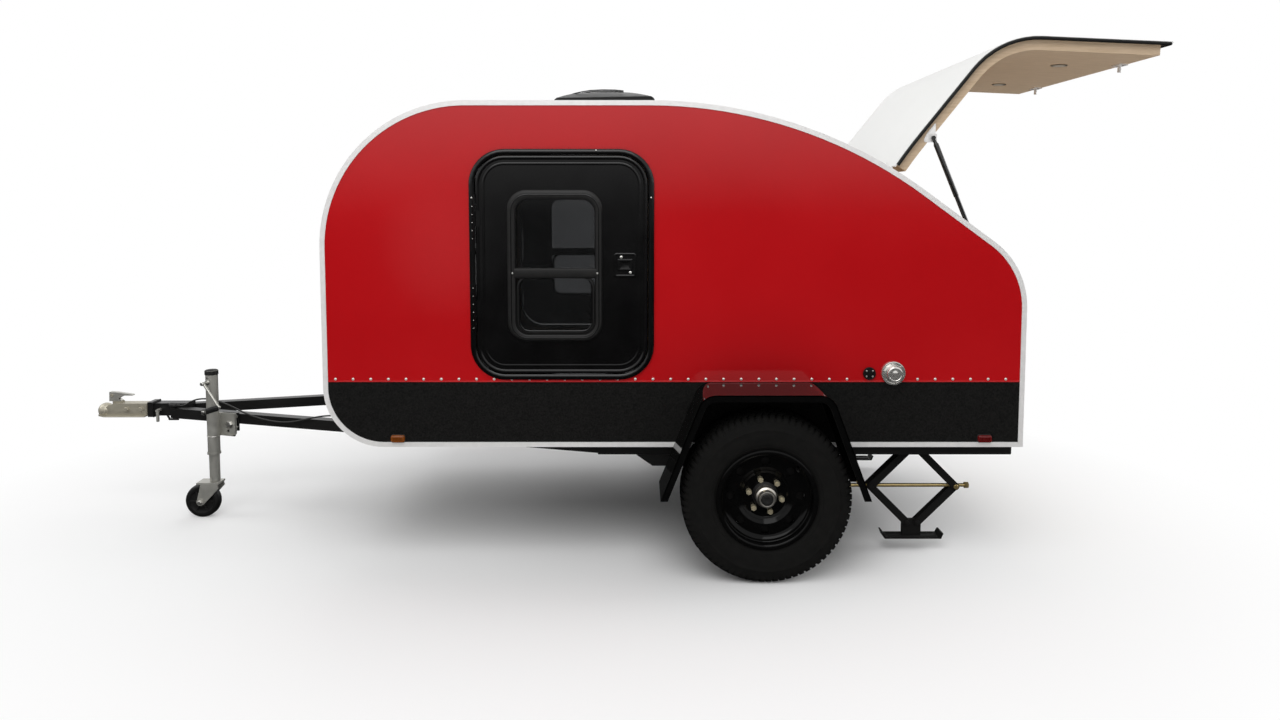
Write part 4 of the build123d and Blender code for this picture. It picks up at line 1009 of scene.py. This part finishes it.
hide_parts("caster_wheel")
shape = bmesh.new()
for side in (1, -1):
    turned(shape, caster_nut, caster_at + Vector((0, side * 0.0400, 0)), (0, side, 0), 6)
piece("caster_nuts", shape, screw_look, "caster_fork")

# Scissor stabilisers: folded black arms on riveted pins, spread by a yellow-zinc screw with a hex head.
# Each stands on a wide foot with pressed ribs.
yellow = finish("yellow_zinc_plate", {"Metallic": 0.85})
tint = yellow.noise(40, 4.0)
yellow.set({
    "Base Color": yellow.mix(tint, (0.42, 0.30, 0.12), (0.58, 0.46, 0.22)),
    "Roughness": 0.28 + 0.2 * tint,
    "Normal": yellow.relief(yellow.noise(500, 2.0), 0.0001),
})
pin_head = [(0, 0), (11, 0), (11, 2.4), (9, 4.2), (0, 4.8)]
flange_bolt = [(0, 0), (10, 0), (10, 1.6), (8, 2), (8, 7), (0, 8)]
stab_x, stab_y, knee_reach, knee_z = -703, 600, 190.2, 288.8
for side, name in both_sides:
    for part in ("upper_front", "upper_rear", "lower_front", "lower_rear", "foot"):
        dress(drum_iron, f"stab_{part}_{name}")
    dress(yellow, f"stab_screw_{name}")
    heads, knees, feet, thread = bmesh.new(), bmesh.new(), bmesh.new(), bmesh.new()
    for way in (1, -1):
        for end in (1, -1):
            turned(heads, pin_head, spot(stab_x + end * 24, side * stab_y + way * 32, 455), (0, way, 0), 20)
            turned(feet, pin_head, spot(stab_x + end * 24, side * stab_y + way * 21, 122.7), (0, way, 0), 20)
        knee_y = side * stab_y + way * 28
        turned(knees, pin_head, spot(stab_x + knee_reach, knee_y, knee_z), (0, way, 0), 20)
        turned(thread, pin_head, spot(stab_x - knee_reach, knee_y, knee_z), (0, way, 0), 20)
        rod(feet, [spot(x, side * stab_y + way * 24, 61.4) for x in (-810, -770, -636, -596)], 4, 8)
    for x in (-745, -661):
        turned(heads, flange_bolt, spot(x, side * 645, 478), (0, 0, -1), 6)
    piece(f"stab_pins_{name}", heads, drum_iron, "trailer")
    piece(f"stab_knee_pin_{name}", knees, drum_iron, f"stab_lower_front_{name}")
    piece(f"stab_foot_ribs_{name}", feet, drum_iron, f"stab_foot_{name}")
    rows = []
    for k in range(361):
        x = -880 + 540 * k / 360
        ridge = [8.0 + 0.9 * abs(((k / 4 - n / 12) % 1) * 2 - 1) for n in range(12)]
        turn = [2 * pi * n / 12 for n in range(12)]
        rows.append([spot(x, side * stab_y + r * cos(a), knee_z + r * sin(a)) for r, a in zip(ridge, turn)])
    skin(thread, rows, closed=False, capped=True)
    piece(f"stab_thread_{name}", thread, yellow, f"stab_screw_{name}")

# Roof vent: a low black dome with moulded ribs, hinged at its front edge, over a flange screwed to the roof.
# A fly screen lies in the opening under it.
vent = finish("vent_plastic", {"Specular IOR Level": 0.12})
vent_grain = vent.noise(500, 2.0)
vent.set({
    "Base Color": vent.mix(vent.noise(9, 3.0), (0.004, 0.004, 0.004), (0.008, 0.008, 0.0078)),
    "Roughness": 0.42 + 0.15 * vent_grain,
    "Normal": vent.relief(vent_grain, 0.0002),
})
dress(vent, "vent_base")
roof_z, lid_r = 2000, 34
lid_line = [
    (432, 46), (450, 58), (480, 70), (520, 82), (560, 92), (598, 99), (640, 103), (700, 104), (760, 101),
    (800, 95), (840, 86), (880, 73), (909, 61), (935, 46), (950, 36),
]


def lid_rise(x):
    """The height of the lid's crown above the roof."""
    for (xa, za), (xb, zb) in zip(lid_line, lid_line[1:]):
        if x <= xb:
            return za + (zb - za) * (x - xa) / (xb - xa)
    return lid_line[-1][1]


shape = bmesh.new()
insets, rim_width = [0, 2, 5, 9, 13, 18, 24, 38, 54, 74, 98, 126, 158, 190], 26
rows = []
for thick, line in ((5, insets[::-1]), (0, insets)):
    for d in line:
        round_over = 1 - (1 - min(d + 2, rim_width) / rim_width) ** 2
        loop = round_loop((432 + thick, 950 - thick), (thick - 205, 205 - thick), lid_r, -d, 12)
        rise = [max(lid_rise(x) * round_over - thick, 1) for x, y in loop]
        rows.append([spot(x, y, roof_z + z) for (x, y), z in zip(loop, rise)])
    if thick:
        for span, width in (((437, 945), (-200, 200)), ((432, 950), (-205, 205))):
            rows.append([spot(x, y, roof_z) for x, y in round_loop(span, width, lid_r, 0, 12)])
skin(shape, rows, closed=False, capped=True)
cover = piece("vent_cover", shape, vent, "vent_lid", 40)
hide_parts("vent_lid")
shape = bmesh.new()
for y in (-96, -48, 0, 48, 96):
    rod(shape, [spot(x, y, 1999.4 + z) for x, z in lid_line[5:12]], 2.6, 10)
for y in (-205.6, 205.6):
    rod(shape, [spot(x, y, 2003) for x in (436, 560, 691, 820, 946)], 3.0, 10)
for x in (431.6, 950):
    rod(shape, [spot(x, y, 2003) for y in (-203, -100, 0, 100, 203)], 3.0, 10)
piece("vent_lid_ribs", shape, vent, "vent_lid")
shape = bmesh.new()
for y in (-176, 176):
    for x in (500, 600, 691, 782, 880):
        screw_head(shape, x, y, 1992, Vector((0, 0, 1)), 4.5)
piece("vent_screws", shape, screw_look, "trailer")
shape = bmesh.new()
for k in range(23):
    across = -154 + 14 * k
    rod(shape, [spot(691 + across, y, 1952) for y in (-165.5, 0, 165.5)], 0.9, 5)
    rod(shape, [spot(691 + x, across, 1953.8) for x in (-165.5, 0, 165.5)], 0.9, 5)
piece("vent_screen", shape, zinc, "trailer")

# Lamps: amber and red ribbed lenses on black bases at the walls, and long red lamps on the tail sill.
# Each lens is welded to its base and the base screwed on.
amber = finish("amber_lens", {"Specular IOR Level": 0.3, "Coat Weight": 0.15})
amber_rib = amber.noise(200, 2.0)
amber.set({
    "Base Color": amber.mix(amber_rib, (0.10, 0.022, 0.002), (0.27, 0.072, 0.006)),
    "Roughness": 0.16 + 0.1 * amber_rib,
})
dress(amber, "amber_markers")
red_lens = finish("red_lens", {"Specular IOR Level": 0.3, "Coat Weight": 0.15})
red_rib = red_lens.noise(200, 2.0)
red_lens.set({
    "Base Color": red_lens.mix(red_rib, (0.075, 0.002, 0.002), (0.145, 0.005, 0.005)),
    "Roughness": 0.16 + 0.1 * red_rib,
})
dress(red_lens, "red_lamps")
for side, name in both_sides:
    for colour, slot, look, x in (("amber", "amber", amber, 1553.5), ("red", "red_lens", red_lens, -958.5)):
        span, rise = (x - 28.5, x + 28.5), (532, 561)
        rows = [(1.2, 6), (1.0, 13), (-1.5, 15.6), (-5, 16.6), (-9, 17.0), (-9, 15), (-5, 8), (1.2, 6)]
        ring_piece(f"{colour}_lens_rim_{name}", look, "trailer", side, grown(span, rise, 8, rows))
        shape = bmesh.new()
        for k in range(6):
            rib_x, rib_y = x - 17 + 6.8 * k, side * (half + 14.2)
            rod(shape, [spot(rib_x, rib_y, z) for z in (541.5, 546.5, 551.5)], 1.5, 8)
        piece(f"{colour}_lens_ribs_{name}", shape, look, "trailer")
        base = [(3.6, 0), (3.6, 3.4), (2.6, 5), (1.1, 5.6), (1.1, 0)]
        ring_piece(f"{colour}_lamp_base_{name}", seal, "trailer", side,
                   grown(span, rise, 8, base))
    shape = bmesh.new()
    for k in range(9):
        y = side * (445 + 20 * k)
        rod(shape, [spot(-1134.2, y, z) for z in (521, 530, 539)], 1.6, 8)
    piece(f"tail_lens_ribs_{name}", shape, red_lens, "trailer")

# Inlets on the left wall: a black power inlet held by four screws, and a polished water filler.
# The filler's domed cap sits in a round flange held by six small rivets.
dress(vent, "power_inlet")
shape = bmesh.new()
inlet = spot(inlet_x, half, inlet_z)
inlet_ring = [(19, 8.5), (22, 8.5), (24, 10.2), (26.6, 9), (27, 4), (27, 0), (19, 0), (19, 8.5)]
inlet_lid = [(0, 9.4), (15.6, 9.4), (17.4, 8.8), (17.4, 0), (0, 0)]
turned(shape, inlet_ring, inlet, (0, 1, 0), 40)
turned(shape, inlet_lid, inlet, (0, 1, 0), 36)
piece("power_inlet_ring", shape, vent, "trailer")
shape = bmesh.new()
for x, z in ((-13, 12), (13, 12), (-13, -12), (13, -12)):
    screw_head(shape, inlet_x + x, half + 9.2, inlet_z + z, Vector((0, 1, 0)), 4.2)
piece("power_inlet_screws", shape, screw_look, "trailer")
chrome = finish("polished_steel", {"Metallic": 0.8})
polish = chrome.noise(90, 3.0)
chrome.set({
    "Base Color": chrome.mix(polish, (0.70, 0.68, 0.64), (0.80, 0.79, 0.76)),
    "Roughness": 0.10 + 0.05 * polish,
})
dress(chrome, "water_inlet")
shape = bmesh.new()
filler = spot(filler_x, half, filler_z)
flange = [(50.6, 0), (51, 9), (49, 12.4), (45.5, 13.4), (42, 12.2), (38, 12.2), (36.5, 14), (35, 14),
          (35, 0), (50.6, 0)]
turned(shape, flange, filler, (0, 1, 0), 64)
cap_dome = [(33.4, 12), (34.2, 14), (34.2, 33), (33, 37.4), (30, 39.6), (26.5, 39.8), (25, 38.6), (16, 38.4),
            (12, 39.6), (0, 40.6)]
turned(shape, cap_dome, filler, (0, 1, 0), 64)
flange_rivet = [(0, -0.4), (3.4, -0.4), (3.4, 1.2), (2.6, 2.0), (0, 2.2)]
for k in range(6):
    a = 2 * pi * k / 6 + 0.3
    at = filler + Vector((42.5 * cos(a), 12.2, 42.5 * sin(a))) / 1000
    turned(shape, flange_rivet, at, (0, 1, 0), 14)
piece("filler_cap", shape, chrome, "trailer")
